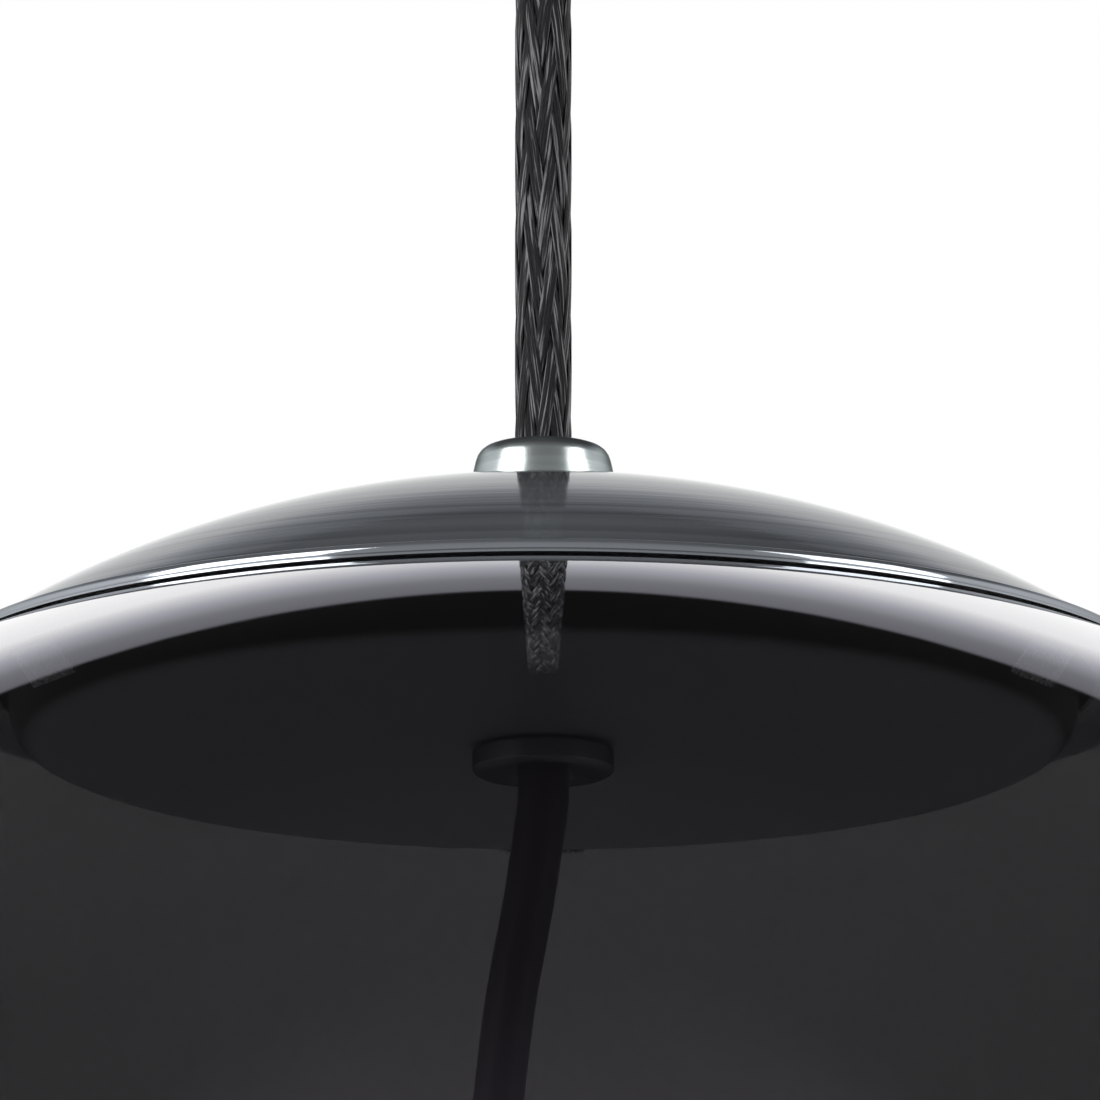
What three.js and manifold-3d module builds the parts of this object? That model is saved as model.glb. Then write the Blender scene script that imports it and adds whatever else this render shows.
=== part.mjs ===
// Pendant ceiling light: a mirrored smoked globe hung by a braided cord from a ceiling rose.
// Millimetres, +Z up. The origin is the middle of the ceiling plate's top face, where the
// light meets the ceiling, and everything hangs below it.

import * as THREE from 'three';
import { mergeVertices } from 'three/addons/utils/BufferGeometryUtils.js';
import Module from 'manifold-3d';

const wasm = await Module();
wasm.setup();

// ---- Driving dimensions ---------------------------------------------------------------

const GAP = 0.3;              // clearance between pieces that touch
const LARGE_SIDES = 36;       // facets round the globe, cap, pan and rose
const SMALL_SIDES = 16;       // facets round small turned pieces

// Whole light
const HANG = 174.6;           // ceiling to the top of the cap
const GLOBE_R = 200;
const GLOBE_WALL = 2.5;

// Cap and the pan under it
const CAP_RIM_R = 74.5;
const CAP_RISE = 9;           // cap's crown above where the uncut globe's crown would be
const CAP_SHEET = 0.8;
const HEM_HEIGHT = 1.9;       // rolled band along the cap's edge
const HEM_STEP = 0.35;        // how far the band stands proud of the dome
const EDGE_FLAT = 0.5;        // upright flat at the very edge of the cap
const GLASS_LEDGE = 8;        // ring of globe covered by the cap
const NECK_MARGIN = 4;        // ring of globe just outside the cap
const GASKET_THINNEST = 0.4;
const GASKET_LEG = 0.6;
const CLIP_ROOM = 2.7;        // space between the globe's opening and the pan
const PAN_DEPTH = 7.15;       // pan's face below the cap's rim
const PAN_SHEET = 1;
const PAN_CORNER = 5.3;
const PAN_HEADROOM = 1;       // pan's upper edge below the cap's inside

// Cords
const CORD_R = 3.4;           // braided cord from the ceiling
const BRAID_WALL = 0.35;      // the same cord goes on inside the globe without its braid
const CORE_R = 0.9;
const CORD_SIDES = 12;
const CORE_SIDES = 8;

// Threaded tube and what screws onto it
const CORD_STEPS = 14;        // points along the braided cord, less one
const CORD_CLEARANCE = 0.6;   // cord to the tube's bore
const NIPPLE_WALL = 1;
const NIPPLE_STAND = 1.5;     // tube's end below the pan
const NIPPLE_RISE = 2.2;      // tube's end above the cap
const NUT_WALL = 1.7;         // nut outside its thread, measured to a flat
const NUT_HEIGHT = 4;
const WASHER_R = 11;
const WASHER_HEIGHT = 1.2;
const COLLAR_FOOT = 3.7;      // collar's foot outside its thread
const COLLAR_SHOULDER = 2.1;  // collar's shoulder outside its thread
const COLLAR_CROWN = 1.7;     // collar's top outside its cord hole
const COLLAR_HEIGHT = 6.2;
const COLLAR_ROUND = [[0, 1.4], [0.4, 0.6], [1, 0.15]];   // inset and drop of its rounded shoulder
const COLLAR_THREAD = 2.5;    // height of the thread inside it
const COLLAR_GRUB_DROP = 2.3;
const LOWER_COLLAR_WALL = 3.15;
const LOWER_COLLAR_HEIGHT = 3;
const GRUB_R = 1.25;
const GRUB_STAND = 0.6;       // how far a grub screw stands out of a plastic piece

// Spring clips
const CLIP_SHEET = 0.5;
const CLIP_WIDTH = 10;
const CLIP_AZIMUTHS = [90, 210, 330];
const CLIP_BEND_DROP = 0.5;   // where a clip leaves the pan, below the globe's inner edge
const CLIP_KNEE_DROP = 2.4;
const CLIP_TIP_DROP = 6.1;
const CLIP_GRIP = 2.5;        // how far a clip's knee reaches under the globe
const RIVET_R = 1;
const RIVET_HEAD_R = 1.8;
const INNER_HEAD = 0.8;       // heights of a rivet's two heads
const OUTER_HEAD = 0.4;

// Ceiling rose
const PLATE_R = 44;
const PLATE_SHEET = 2;
const ROSE_R = 50;
const ROSE_HEIGHT = 28;
const ROSE_WALL = 1.2;
const ROSE_CORNER = 8;
const SIDE_SCREW_Z = -8;
const SIDE_SCREW_R = 1.5;
const TAB_WIDTH = 12;
const TAB_DROP = 12;
const BUSH_DROP = 6.2;        // bush below the rose cover
const BUSH_MOUTH_ROOM = 1.9;  // cord to the edge of the bush's bell mouth
const BUSH_ROUND = [[0, 1.2], [0.5, 0.3], [1.1, 0]];      // inset and rise of its rounded lower edge
const SWING_DEPTH = 5;        // swing axis above the bush's mouth
const PLATE_HOLES = [[0, 26, 7], [0, -30, 2.5], [22, -24, 2.5]];  // x, y, radius: cable, ceiling screws
const EARTH_SCREW_AT = [26, 18];
const EARTH_SCREW_HEAD = [3.5, 2];    // radius and height of a screw's head
const SIDE_SCREW_HEAD = [3, 1.6];
const SIDE_SCREW_GRIP = 6;    // side screw's reach past the plate's edge
const SCREW_R = 1.7;
const CORD_STOP_R = 7;
const CORD_STOP_HEIGHT = 5.7;
const TAIL_ROOM = 1.5;        // the cord's fixed end above the swing axis
const TERMINAL_SIZE = [16, 26, 12];
const TERMINAL_X = -28;
const TERMINAL_PITCH = 8;
const TERMINAL_BORE_R = 1.5;

// Lampholder, measured down from its own top
const HOLDER_DEPTH = 105;     // holder's top below the pan's face
const GRIP_HEIGHT = 9;
const GRIP_WALL = 2.25;       // at its top
const GRIP_FOOT_R = 8;
const HOLDER_CAP_HEIGHT = 15;
const HOLDER_CAP_WALL = 1.5;
const HOLDER_CAP_SKIRT = 4;   // upright part of the cap's side
const HOLDER_R = 19.5;
const HOLDER_WALL = 2;
const HOLDER_BODY_HEIGHT = 40;
const INSERT_HEIGHT = 10;
const SHELL_R = 14.2;
const SHELL_WALL = 0.5;
const SHELL_HEIGHT = 24;
const CONTACT_HEIGHT = 2;

// Lamp
const LAMP_R = 30;
const LAMP_LENGTH = 108;
const LAMP_CAP_R = 13.1;
const LAMP_CAP_WALL = 0.5;
const LAMP_GLASS_WALL = 1;
const LAMP_CAP_LENGTH = 27;
const FILAMENT_COUNT = 4;

// Middle of the cord inside the globe: sideways offset and depth below the pan's face.
const INNER_CORD_ROUTE = [
  [0, 2.65], [0, 6.5], [-0.45, 10], [-1.1, 14.5], [-1.8, 19], [-3.9, 31], [-5.35, 43], [-6.4, 53],
  [-6.9, 63], [-6.4, 73], [-4.6, 83], [-2.2, 92], [-0.5, 100], [0, 105], [0, 111],
];

// ---- Solids ---------------------------------------------------------------------------

const WELD = 1e-4;

// A closed three.js geometry as a solid whose faces point out.
function solidOf(geometry) {
  const bare = geometry.clone();
  bare.deleteAttribute('normal');
  bare.deleteAttribute('uv');
  const welded = mergeVertices(bare, WELD);
  const vertices = welded.getAttribute('position').array;
  const corners = welded.getIndex().array;
  const at = (i) => new THREE.Vector3().fromArray(vertices, 3 * i);
  const triangles = [];
  let volume = 0;
  for (let i = 0; i < corners.length; i += 3) {
    const [a, b, c] = corners.slice(i, i + 3);
    if (a === b || b === c || c === a) continue;
    triangles.push(a, b, c);
    volume += at(a).dot(at(b).cross(at(c)));
  }
  if (volume < 0) triangles.reverse();
  return new wasm.Manifold(new wasm.Mesh({
    numProp: 3,
    vertProperties: new Float32Array(vertices),
    triVerts: new Uint32Array(triangles),
  }));
}

function geometryOf(solid) {
  const mesh = solid.getMesh();
  const geometry = new THREE.BufferGeometry();
  geometry.setAttribute('position', new THREE.BufferAttribute(mesh.vertProperties, 3));
  geometry.setIndex(new THREE.BufferAttribute(mesh.triVerts, 1));
  geometry.computeVertexNormals();
  return geometry;
}

// A profile of [radius, height] turned about Z. A ring's profile closes by itself; a profile
// that starts on the axis ends on it too.
function turned(profile, sides = SMALL_SIDES) {
  const onAxis = profile[0][0] === 0;
  const outline = onAxis ? profile : [...profile, profile[0]];
  const geometry = new THREE.LatheGeometry(outline.map(([r, z]) => new THREE.Vector2(r, z)), sides);
  geometry.rotateX(Math.PI / 2);
  return solidOf(geometry);
}

// A ring of square section between two heights.
function ring(innerR, outerR, low, high, sides = SMALL_SIDES) {
  return turned([[innerR, low], [outerR, low], [outerR, high], [innerR, high]], sides);
}

// A plain cylinder about Z between two heights.
function rod(radius, low, high, sides = SMALL_SIDES) {
  return turned([[0, low], [radius, low], [radius, high], [0, high]], sides);
}

// A cylinder from one distance to another along the direction of an azimuth, at a height.
function radialRod(radius, from, to, z, azimuth = 0) {
  const geometry = new THREE.CylinderGeometry(radius, radius, to - from, SMALL_SIDES);
  geometry.rotateZ(Math.PI / 2);
  geometry.translate((from + to) / 2, 0, z);
  geometry.rotateZ(THREE.MathUtils.degToRad(azimuth));
  return solidOf(geometry);
}

function block(size, centre) {
  const geometry = new THREE.BoxGeometry(...size);
  geometry.translate(...centre);
  return solidOf(geometry);
}

// An outline pushed along Z from a low height by a depth.
function prism(shape, low, depth, segments = SMALL_SIDES) {
  const geometry = new THREE.ExtrudeGeometry(shape, { depth, bevelEnabled: false, curveSegments: segments });
  geometry.translate(0, 0, low);
  return solidOf(geometry);
}

// A round tube along a list of points.
function tube(points, radius, sides, steps) {
  const path = new THREE.CatmullRomCurve3(points.map((p) => new THREE.Vector3(...p)), false, 'centripetal');
  const corners = [];
  for (let i = 0; i < sides; i += 1) {
    const angle = (2 * Math.PI * i) / sides;
    corners.push(new THREE.Vector2(radius * Math.cos(angle), radius * Math.sin(angle)));
  }
  const section = new THREE.Shape(corners);
  return solidOf(new THREE.ExtrudeGeometry(section, { steps, bevelEnabled: false, extrudePath: path }));
}

// Points on a circle about (centreR, centreZ), by angle from the +radius direction.
function arc(centreR, centreZ, radius, fromDeg, toDeg, steps) {
  const points = [];
  for (let i = 0; i <= steps; i += 1) {
    const angle = THREE.MathUtils.degToRad(fromDeg + ((toDeg - fromDeg) * i) / steps);
    points.push([centreR + radius * Math.cos(angle), centreZ + radius * Math.sin(angle)]);
  }
  return points;
}

// The outline of a thin strip that follows a line of points.
function stripShape(line, thickness) {
  const points = line.map(([x, y]) => new THREE.Vector2(x, y));
  const sides = [[], []];
  points.forEach((point, i) => {
    const before = points[Math.max(i - 1, 0)];
    const after = points[Math.min(i + 1, points.length - 1)];
    const along = after.clone().sub(before).normalize();
    const across = new THREE.Vector2(-along.y, along.x).multiplyScalar(thickness / 2);
    sides[0].push(point.clone().add(across));
    sides[1].unshift(point.clone().sub(across));
  });
  return new THREE.Shape([...sides[0], ...sides[1]]);
}

// A hexagonal nut on Z between two heights.
function hexNut(holeR, low, high) {
  const cornerR = (holeR + NUT_WALL) / Math.cos(Math.PI / 6);
  const corners = [];
  for (let i = 0; i < 6; i += 1) {
    const angle = (Math.PI * i) / 3;
    corners.push(new THREE.Vector2(cornerR * Math.cos(angle), cornerR * Math.sin(angle)));
  }
  return prism(new THREE.Shape(corners), low, high - low).subtract(rod(holeR, low - 1, high + 1));
}

// A screw on Z with its head's top at z = 0, a shank below and a driver slot.
function screw(headR, headHeight, shankR, length) {
  const body = turned([
    [0, -headHeight - length], [shankR, -headHeight - length], [shankR, -headHeight],
    [headR, -headHeight], [headR, -headHeight / 2], [headR * 0.8, 0], [0, 0],
  ]);
  const slotDepth = headHeight / 2;
  return body.subtract(block([2.5 * headR, headR / 4, slotDepth], [0, 0, 0]));
}

// ---- Materials ------------------------------------------------------------------------

function finish(color, roughness, metalness) {
  return () => new THREE.MeshStandardMaterial({ color, roughness, metalness, flatShading: true });
}

const gunmetal = finish(0x54585a, 0.15, 1);
const panPaint = finish(0x17171a, 0.4, 0.2);
const smokedMirror = finish(0x3c393f, 0.04, 0.9);
const braid = finish(0x35363a, 0.85, 0);
const sheath = finish(0x121214, 0.5, 0);
const zinc = finish(0x9a9c9e, 0.35, 1);
const springSteel = finish(0x5a4a3a, 0.3, 1);
const silicone = finish(0x1a1a1c, 0.6, 0);
const nylon = finish(0xe9e7e0, 0.5, 0);
const blackResin = finish(0x0f0f11, 0.4, 0);
const porcelain = finish(0xefece4, 0.25, 0);
const brass = finish(0xc9a24a, 0.25, 1);
const lampGlass = finish(0xf2f4f5, 0.05, 0);
const phosphor = finish(0xe8b548, 0.6, 0);
const coreColors = {
  live: finish(0x6b3f22, 0.5, 0),
  neutral: finish(0x2c5fa8, 0.5, 0),
  earth: finish(0x7fa33a, 0.5, 0),
};

function piece(parent, name, solid, material) {
  const mesh = new THREE.Mesh(geometryOf(solid), material());
  mesh.name = name;
  parent.add(mesh);
  return mesh;
}

function groupAt(parent, x, y, z) {
  const group = new THREE.Group();
  group.position.set(x, y, z);
  parent.add(group);
  return group;
}

// ---- Heights and surfaces that pieces share -------------------------------------------

const globeCrown = GLOBE_R - Math.sqrt(GLOBE_R ** 2 - CAP_RIM_R ** 2);
const capHeight = globeCrown + CAP_RISE;
const rimZ = -(HANG + capHeight);
const openingR = CAP_RIM_R - GLASS_LEDGE;
const panR = openingR - CLIP_ROOM;
const nippleBoreR = CORD_R + CORD_CLEARANCE;
const nippleR = nippleBoreR + NIPPLE_WALL;
const threadR = nippleR + GAP;
const cordHoleR = CORD_R + GAP;
const innerCordR = CORD_R - BRAID_WALL;
const collarShoulderR = threadR + COLLAR_SHOULDER;
const collarFootR = threadR + COLLAR_FOOT;

// Heights below are above the cap's rim.
const domeR = (CAP_RIM_R ** 2 + capHeight ** 2) / (2 * capHeight);
const domeZ = capHeight - domeR;
const globeZ = globeCrown - GLOBE_R - GAP;

function domeHeight(radius, offset = 0) {
  return domeZ + Math.sqrt((domeR + offset) ** 2 - radius ** 2);
}

function globeHeight(radius, offset = 0) {
  return globeZ + Math.sqrt((GLOBE_R + offset) ** 2 - radius ** 2);
}

// The largest radius where the room between the cap's inside and the globe is at least this.
function radiusWithRoom(room) {
  let radius = CAP_RIM_R - CAP_SHEET;
  while (domeHeight(radius, -CAP_SHEET) - globeHeight(radius) < room) {
    radius -= 0.1;
  }
  return radius;
}

// Radii from one to another in equal steps, both included.
function spread(from, to, steps) {
  return Array.from({ length: steps + 1 }, (_, i) => from + ((to - from) * i) / steps);
}

// The globe's inner edge at its opening, and the rivets that hold the clips just above it.
const edgeZ = globeHeight(openingR, -GLOBE_WALL);
const rivetZ = edgeZ - CLIP_BEND_DROP + RIVET_HEAD_R + GAP;

const swingZ = -ROSE_HEIGHT - GAP - BUSH_DROP + SWING_DEPTH;
const cordStopZ = -ROSE_HEIGHT + ROSE_WALL + GAP;
const collarGrubZ = COLLAR_HEIGHT - COLLAR_GRUB_DROP;

// ---- Ceiling rose ---------------------------------------------------------------------

function ceilingPlate() {
  const outline = new THREE.Shape().absarc(0, 0, PLATE_R, 0, 2 * Math.PI);
  const holes = [...PLATE_HOLES, [...EARTH_SCREW_AT, SCREW_R + GAP]];
  for (const [x, y, r] of holes) {
    outline.holes.push(new THREE.Path().absarc(x, y, r, 0, 2 * Math.PI, true));
  }
  let plate = prism(outline, -PLATE_SHEET, PLATE_SHEET, LARGE_SIDES / 2);
  const tabHeight = TAB_DROP + PLATE_SHEET / 2;
  const tabZ = -(PLATE_SHEET + tabHeight) / 2;
  for (const side of [-1, 1]) {
    const tabX = side * (PLATE_R - PLATE_SHEET);
    plate = plate.add(block([PLATE_SHEET, TAB_WIDTH, tabHeight], [tabX, 0, tabZ]));
  }
  return plate.subtract(radialRod(SIDE_SCREW_R + GAP, -PLATE_R, PLATE_R, SIDE_SCREW_Z));
}

function roseCover() {
  const innerR = ROSE_R - ROSE_WALL;
  const cornerR = ROSE_R - ROSE_CORNER;
  const cornerZ = ROSE_CORNER - ROSE_HEIGHT;
  const cup = turned([
    [threadR, -ROSE_HEIGHT],
    ...arc(cornerR, cornerZ, ROSE_CORNER, -90, 0, 5),
    [ROSE_R, -GAP],
    [innerR, -GAP],
    ...arc(cornerR, cornerZ, ROSE_CORNER - ROSE_WALL, 0, -90, 5),
    [threadR, ROSE_WALL - ROSE_HEIGHT],
  ], LARGE_SIDES);
  return cup.subtract(radialRod(SIDE_SCREW_R + GAP, -2 * ROSE_R, 2 * ROSE_R, SIDE_SCREW_Z));
}

// The bush screws up through the cover, and its bell mouth lets the cord swing.
function roseBush() {
  const flangeZ = -ROSE_HEIGHT - GAP;
  const mouthZ = flangeZ - BUSH_DROP;
  const topZ = cordStopZ + NUT_HEIGHT;
  return turned([
    [nippleBoreR, topZ], [nippleR, topZ], [nippleR, flangeZ], [collarFootR, flangeZ],
    ...BUSH_ROUND.map(([inset, rise]) => [collarShoulderR - inset, mouthZ + rise]),
    [CORD_R + BUSH_MOUTH_ROOM, mouthZ], [nippleBoreR, swingZ + GAP],
  ]);
}

function buildRose(parent) {
  const rose = groupAt(parent, 0, 0, 0);
  piece(rose, 'ceiling_plate', ceilingPlate(), zinc);
  piece(rose, 'rose_cover', roseCover(), gunmetal);
  piece(rose, 'rose_bush', roseBush(), gunmetal);
  piece(rose, 'rose_bush_nut', hexNut(threadR, cordStopZ, cordStopZ + NUT_HEIGHT - 1), zinc);

  const [headR, headHeight] = SIDE_SCREW_HEAD;
  const sideScrew = screw(headR, headHeight, SIDE_SCREW_R, ROSE_R - PLATE_R + SIDE_SCREW_GRIP);
  [0, 180].forEach((azimuth, i) => {
    const holder = groupAt(rose, 0, 0, SIDE_SCREW_Z);
    holder.rotation.z = THREE.MathUtils.degToRad(azimuth);
    const mesh = piece(holder, `rose_side_screw_${i + 1}`, sideScrew, zinc);
    mesh.rotation.y = Math.PI / 2;
    mesh.position.x = ROSE_R + GAP + headHeight;
  });

  const [earthHeadR, earthHeadHeight] = EARTH_SCREW_HEAD;
  const earthSolid = screw(earthHeadR, earthHeadHeight, SCREW_R, PLATE_SHEET);
  const earthScrew = piece(rose, 'plate_earth_screw', earthSolid, brass);
  earthScrew.rotation.x = Math.PI;
  earthScrew.position.set(...EARTH_SCREW_AT, -PLATE_SHEET - GAP - earthHeadHeight);

  // The cord's tail is held by a stop that rests on the bush, and its cores go to the terminals.
  const stopZ = cordStopZ + NUT_HEIGHT + GAP;
  const stopTop = stopZ + CORD_STOP_HEIGHT;
  const tailTop = stopTop + 1;
  const grubZ = (stopZ + stopTop) / 2;
  const stopBore = radialRod(GRUB_R + GAP, 0, 2 * CORD_STOP_R, grubZ, 90);
  piece(rose, 'cord_stop', ring(cordHoleR, CORD_STOP_R, stopZ, stopTop).subtract(stopBore), nylon);
  const stopGrub = radialRod(GRUB_R, cordHoleR, CORD_STOP_R + GRUB_STAND, grubZ, 90);
  piece(rose, 'cord_stop_screw', stopGrub, zinc);
  const tailRoute = [[0, 0, swingZ + TAIL_ROOM], [0, 0, tailTop]];
  piece(rose, 'cord_tail', tube(tailRoute, CORD_R, CORD_SIDES, 1), braid);
  buildTerminals(rose, tailTop + GAP);
}

function buildTerminals(rose, coreZ) {
  const [width, depth, height] = TERMINAL_SIZE;
  const top = -PLATE_SHEET - GAP;
  const middle = top - height / 2;
  const mouth = TERMINAL_X + width / 2;
  const boreDepth = 8;
  const screwInset = 4;
  const screwR = 1.3;
  let terminals = block(TERMINAL_SIZE, [TERMINAL_X, 0, middle]);
  Object.keys(coreColors).forEach((core, i) => {
    const y = (i - 1) * TERMINAL_PITCH;
    const bore = radialRod(TERMINAL_BORE_R, mouth - boreDepth, mouth + 1, middle).translate([0, y, 0]);
    const screwBore = rod(screwR + GAP, top - height - 1, middle).translate([mouth - screwInset, y, 0]);
    terminals = terminals.subtract(bore).subtract(screwBore);

    const tip = middle - CORE_R - GAP;
    const pin = rod(screwR, top - height, tip).translate([mouth - screwInset, y, 0]);
    piece(rose, `terminal_screw_${i + 1}`, pin, brass);

    const start = (i - 1) * 2.2;
    const route = [
      [0, start, coreZ], [-1, start, coreZ + 2], [-5, (start + y) / 2, middle - 1.5],
      [-11, y, middle], [mouth, y, middle], [mouth - boreDepth + 2, y, middle],
    ];
    piece(rose, `core_${core}`, tube(route, CORE_R, CORE_SIDES, 14), coreColors[core]);
  });
  piece(rose, 'terminal_block', terminals, nylon);
}

// ---- Cap, pan and the tube that joins them; z = 0 is the cap's rim ----------------------

function capDome() {
  const seatR = radiusWithRoom(GAP);
  const hemR = Math.sqrt(domeR ** 2 - (HEM_HEIGHT - domeZ) ** 2);
  const outside = spread(threadR, hemR, 6).map((r) => [r, domeHeight(r)]);
  const hem = spread(hemR + HEM_STEP, CAP_RIM_R, 2).map((r) => [r, domeHeight(r, HEM_STEP)]);
  const seat = spread(CAP_RIM_R, seatR, 2).map((r) => [r, globeHeight(r) + GAP]);
  const inside = spread(seatR, threadR, 6).map((r) => [r, domeHeight(r, -CAP_SHEET)]);
  hem[hem.length - 1] = [CAP_RIM_R, EDGE_FLAT];
  inside[0][1] = Math.max(inside[0][1], seat[2][1]);
  return turned([...outside, ...hem, ...seat, ...inside.slice(1)], LARGE_SIDES);
}

function rivetBore(azimuth) {
  const reach = 4;
  return radialRod(RIVET_R + GAP, panR - reach, panR + reach, rivetZ, azimuth);
}

function retainerPan() {
  const cornerR = panR - PAN_CORNER;
  const cornerZ = PAN_CORNER - PAN_DEPTH;
  const topZ = domeHeight(panR, -CAP_SHEET) - PAN_HEADROOM;
  let pan = turned([
    [threadR, -PAN_DEPTH],
    ...arc(cornerR, cornerZ, PAN_CORNER, -90, 0, 4),
    [panR, topZ],
    [panR - PAN_SHEET, topZ],
    ...arc(cornerR, cornerZ, PAN_CORNER - PAN_SHEET, 0, -90, 4),
    [threadR, PAN_SHEET - PAN_DEPTH],
  ], LARGE_SIDES);
  for (const azimuth of CLIP_AZIMUTHS) {
    pan = pan.subtract(rivetBore(azimuth));
  }
  return pan;
}

// A leaf spring: flat against the pan, then out under the globe's edge and back in.
function clip() {
  const flatR = panR + GAP + CLIP_SHEET / 2;
  const line = [
    [flatR, rivetZ + RIVET_HEAD_R + GAP], [flatR, edgeZ - CLIP_BEND_DROP],
    [openingR + CLIP_GRIP, edgeZ - CLIP_KNEE_DROP], [openingR - CLIP_SHEET, edgeZ - CLIP_TIP_DROP],
  ];
  const geometry = new THREE.ExtrudeGeometry(stripShape(line, CLIP_SHEET), {
    depth: CLIP_WIDTH,
    bevelEnabled: false,
  });
  geometry.translate(0, 0, -CLIP_WIDTH / 2);
  geometry.rotateX(Math.PI / 2);
  return solidOf(geometry).subtract(rivetBore(0));
}

// A rivet along +X, its heads on the pan's inside and on the clip's outside.
function rivet() {
  const innerFace = panR - PAN_SHEET - GAP;
  const outerFace = panR + CLIP_SHEET + 2 * GAP;
  const shank = radialRod(RIVET_R, innerFace - INNER_HEAD / 2, outerFace + OUTER_HEAD / 2, rivetZ);
  const innerHead = radialRod(RIVET_HEAD_R, innerFace - INNER_HEAD, innerFace, rivetZ);
  const outerHead = radialRod(RIVET_HEAD_R, outerFace, outerFace + OUTER_HEAD, rivetZ);
  return shank.add(innerHead).add(outerHead);
}

function topCollar() {
  const body = turned([
    [threadR, GAP], [collarFootR, GAP],
    ...COLLAR_ROUND.map(([inset, drop]) => [collarShoulderR - inset, COLLAR_HEIGHT - drop]),
    [cordHoleR + COLLAR_CROWN, COLLAR_HEIGHT], [cordHoleR, COLLAR_HEIGHT],
    [cordHoleR, COLLAR_THREAD], [threadR, COLLAR_THREAD],
  ]);
  return body.subtract(radialRod(GRUB_R + GAP, 0, 2 * collarFootR, collarGrubZ, 90));
}

function lowerCollar() {
  const top = -PAN_DEPTH - GAP;
  const bottom = top - LOWER_COLLAR_HEIGHT;
  const threadBottom = top - LOWER_COLLAR_HEIGHT / 2;
  const outerR = threadR + LOWER_COLLAR_WALL;
  const chamfer = 1;
  const funnel = 0.6;
  return turned([
    [threadR, top], [outerR, top], [outerR, bottom + chamfer], [outerR - chamfer, bottom],
    [cordHoleR + funnel, bottom], [cordHoleR, threadBottom], [threadR, threadBottom],
  ]);
}

function buildPendant(parent) {
  const pendant = groupAt(parent, 0, 0, rimZ);
  const nippleLow = -PAN_DEPTH - NIPPLE_STAND;
  const cordLow = nippleLow - BRAID_WALL;
  const cordRoute = spread(swingZ - rimZ, cordLow, CORD_STEPS).map((z) => [0, 0, z]);
  piece(pendant, 'pendant_cord', tube(cordRoute, CORD_R, CORD_SIDES, CORD_STEPS), braid);
  piece(pendant, 'nipple_tube', ring(nippleBoreR, nippleR, nippleLow, capHeight + NIPPLE_RISE), zinc);

  const top = groupAt(pendant, 0, 0, capHeight);
  piece(top, 'top_collar', topCollar(), gunmetal);
  const grub = radialRod(GRUB_R, cordHoleR, collarShoulderR, collarGrubZ, 90);
  piece(top, 'collar_grub_screw', grub, zinc);

  piece(pendant, 'cap_dome', capDome(), gunmetal);
  const upperWasherTop = domeHeight(WASHER_R, -CAP_SHEET) - GAP;
  const upperNutTop = upperWasherTop - WASHER_HEIGHT - GAP;
  const upperWasher = ring(threadR, WASHER_R, upperWasherTop - WASHER_HEIGHT, upperWasherTop);
  piece(pendant, 'upper_washer', upperWasher, zinc);
  piece(pendant, 'upper_nut', hexNut(threadR, upperNutTop - NUT_HEIGHT, upperNutTop), zinc);

  const lowerWasherZ = PAN_SHEET - PAN_DEPTH + GAP;
  const lowerNutZ = lowerWasherZ + WASHER_HEIGHT + GAP;
  piece(pendant, 'retainer_pan', retainerPan(), panPaint);
  piece(pendant, 'lower_washer', ring(threadR, WASHER_R, lowerWasherZ, lowerWasherZ + WASHER_HEIGHT), zinc);
  piece(pendant, 'lower_nut', hexNut(threadR, lowerNutZ, lowerNutZ + NUT_HEIGHT), zinc);
  piece(pendant, 'lower_collar', lowerCollar(), gunmetal);

  CLIP_AZIMUTHS.forEach((azimuth, i) => {
    const arm = groupAt(pendant, 0, 0, 0);
    arm.rotation.z = THREE.MathUtils.degToRad(azimuth);
    piece(arm, `spring_clip_${i + 1}`, clip(), springSteel);
    piece(arm, `clip_rivet_${i + 1}`, rivet(), zinc);
  });
}

// ---- Globe; z = 0 is the cap's rim -------------------------------------------------------

function globe() {
  const edgeAngle = THREE.MathUtils.radToDeg(Math.acos(openingR / GLOBE_R));
  const neckAngle = THREE.MathUtils.radToDeg(Math.acos((CAP_RIM_R + NECK_MARGIN) / GLOBE_R));
  const innerR = GLOBE_R - GLOBE_WALL;
  const innerEdgeAngle = THREE.MathUtils.radToDeg(Math.acos(openingR / innerR));
  const outside = [
    ...arc(0, globeZ, GLOBE_R, edgeAngle, neckAngle, 2),
    ...arc(0, globeZ, GLOBE_R, neckAngle, 0, 6).slice(1),
    ...arc(0, globeZ, GLOBE_R, 0, -90, 8).slice(1, -1),
    [0, globeZ - GLOBE_R],
  ];
  const inside = [
    [0, globeZ - innerR],
    ...arc(0, globeZ, innerR, -90, 0, 8).slice(1),
    ...arc(0, globeZ, innerR, 0, neckAngle, 6).slice(1),
    ...arc(0, globeZ, innerR, neckAngle, innerEdgeAngle, 2).slice(1),
  ];
  return turned([...inside, ...outside], LARGE_SIDES);
}

// A soft ring stretched over the globe's cut edge: it lies on top and down the inside.
function edgeGasket() {
  const legR = openingR - GAP - GASKET_LEG;
  const outerR = radiusWithRoom(2 * GAP + GASKET_THINNEST);
  const under = spread(outerR, openingR - GAP, 2).map((r) => [r, globeHeight(r) + GAP]);
  const over = spread(legR, outerR, 2).map((r) => [r, domeHeight(r, -CAP_SHEET) - GAP]);
  const legLow = globeHeight(openingR, -GLOBE_WALL) + GAP;
  return turned([...under, [openingR - GAP, legLow], [legR, legLow], ...over], LARGE_SIDES);
}

function buildGlobe(parent) {
  const group = groupAt(parent, 0, 0, rimZ);
  piece(group, 'globe', globe(), smokedMirror);
  piece(group, 'edge_gasket', edgeGasket(), silicone);
}

// ---- Lampholder; z = 0 is its top --------------------------------------------------------

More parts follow.
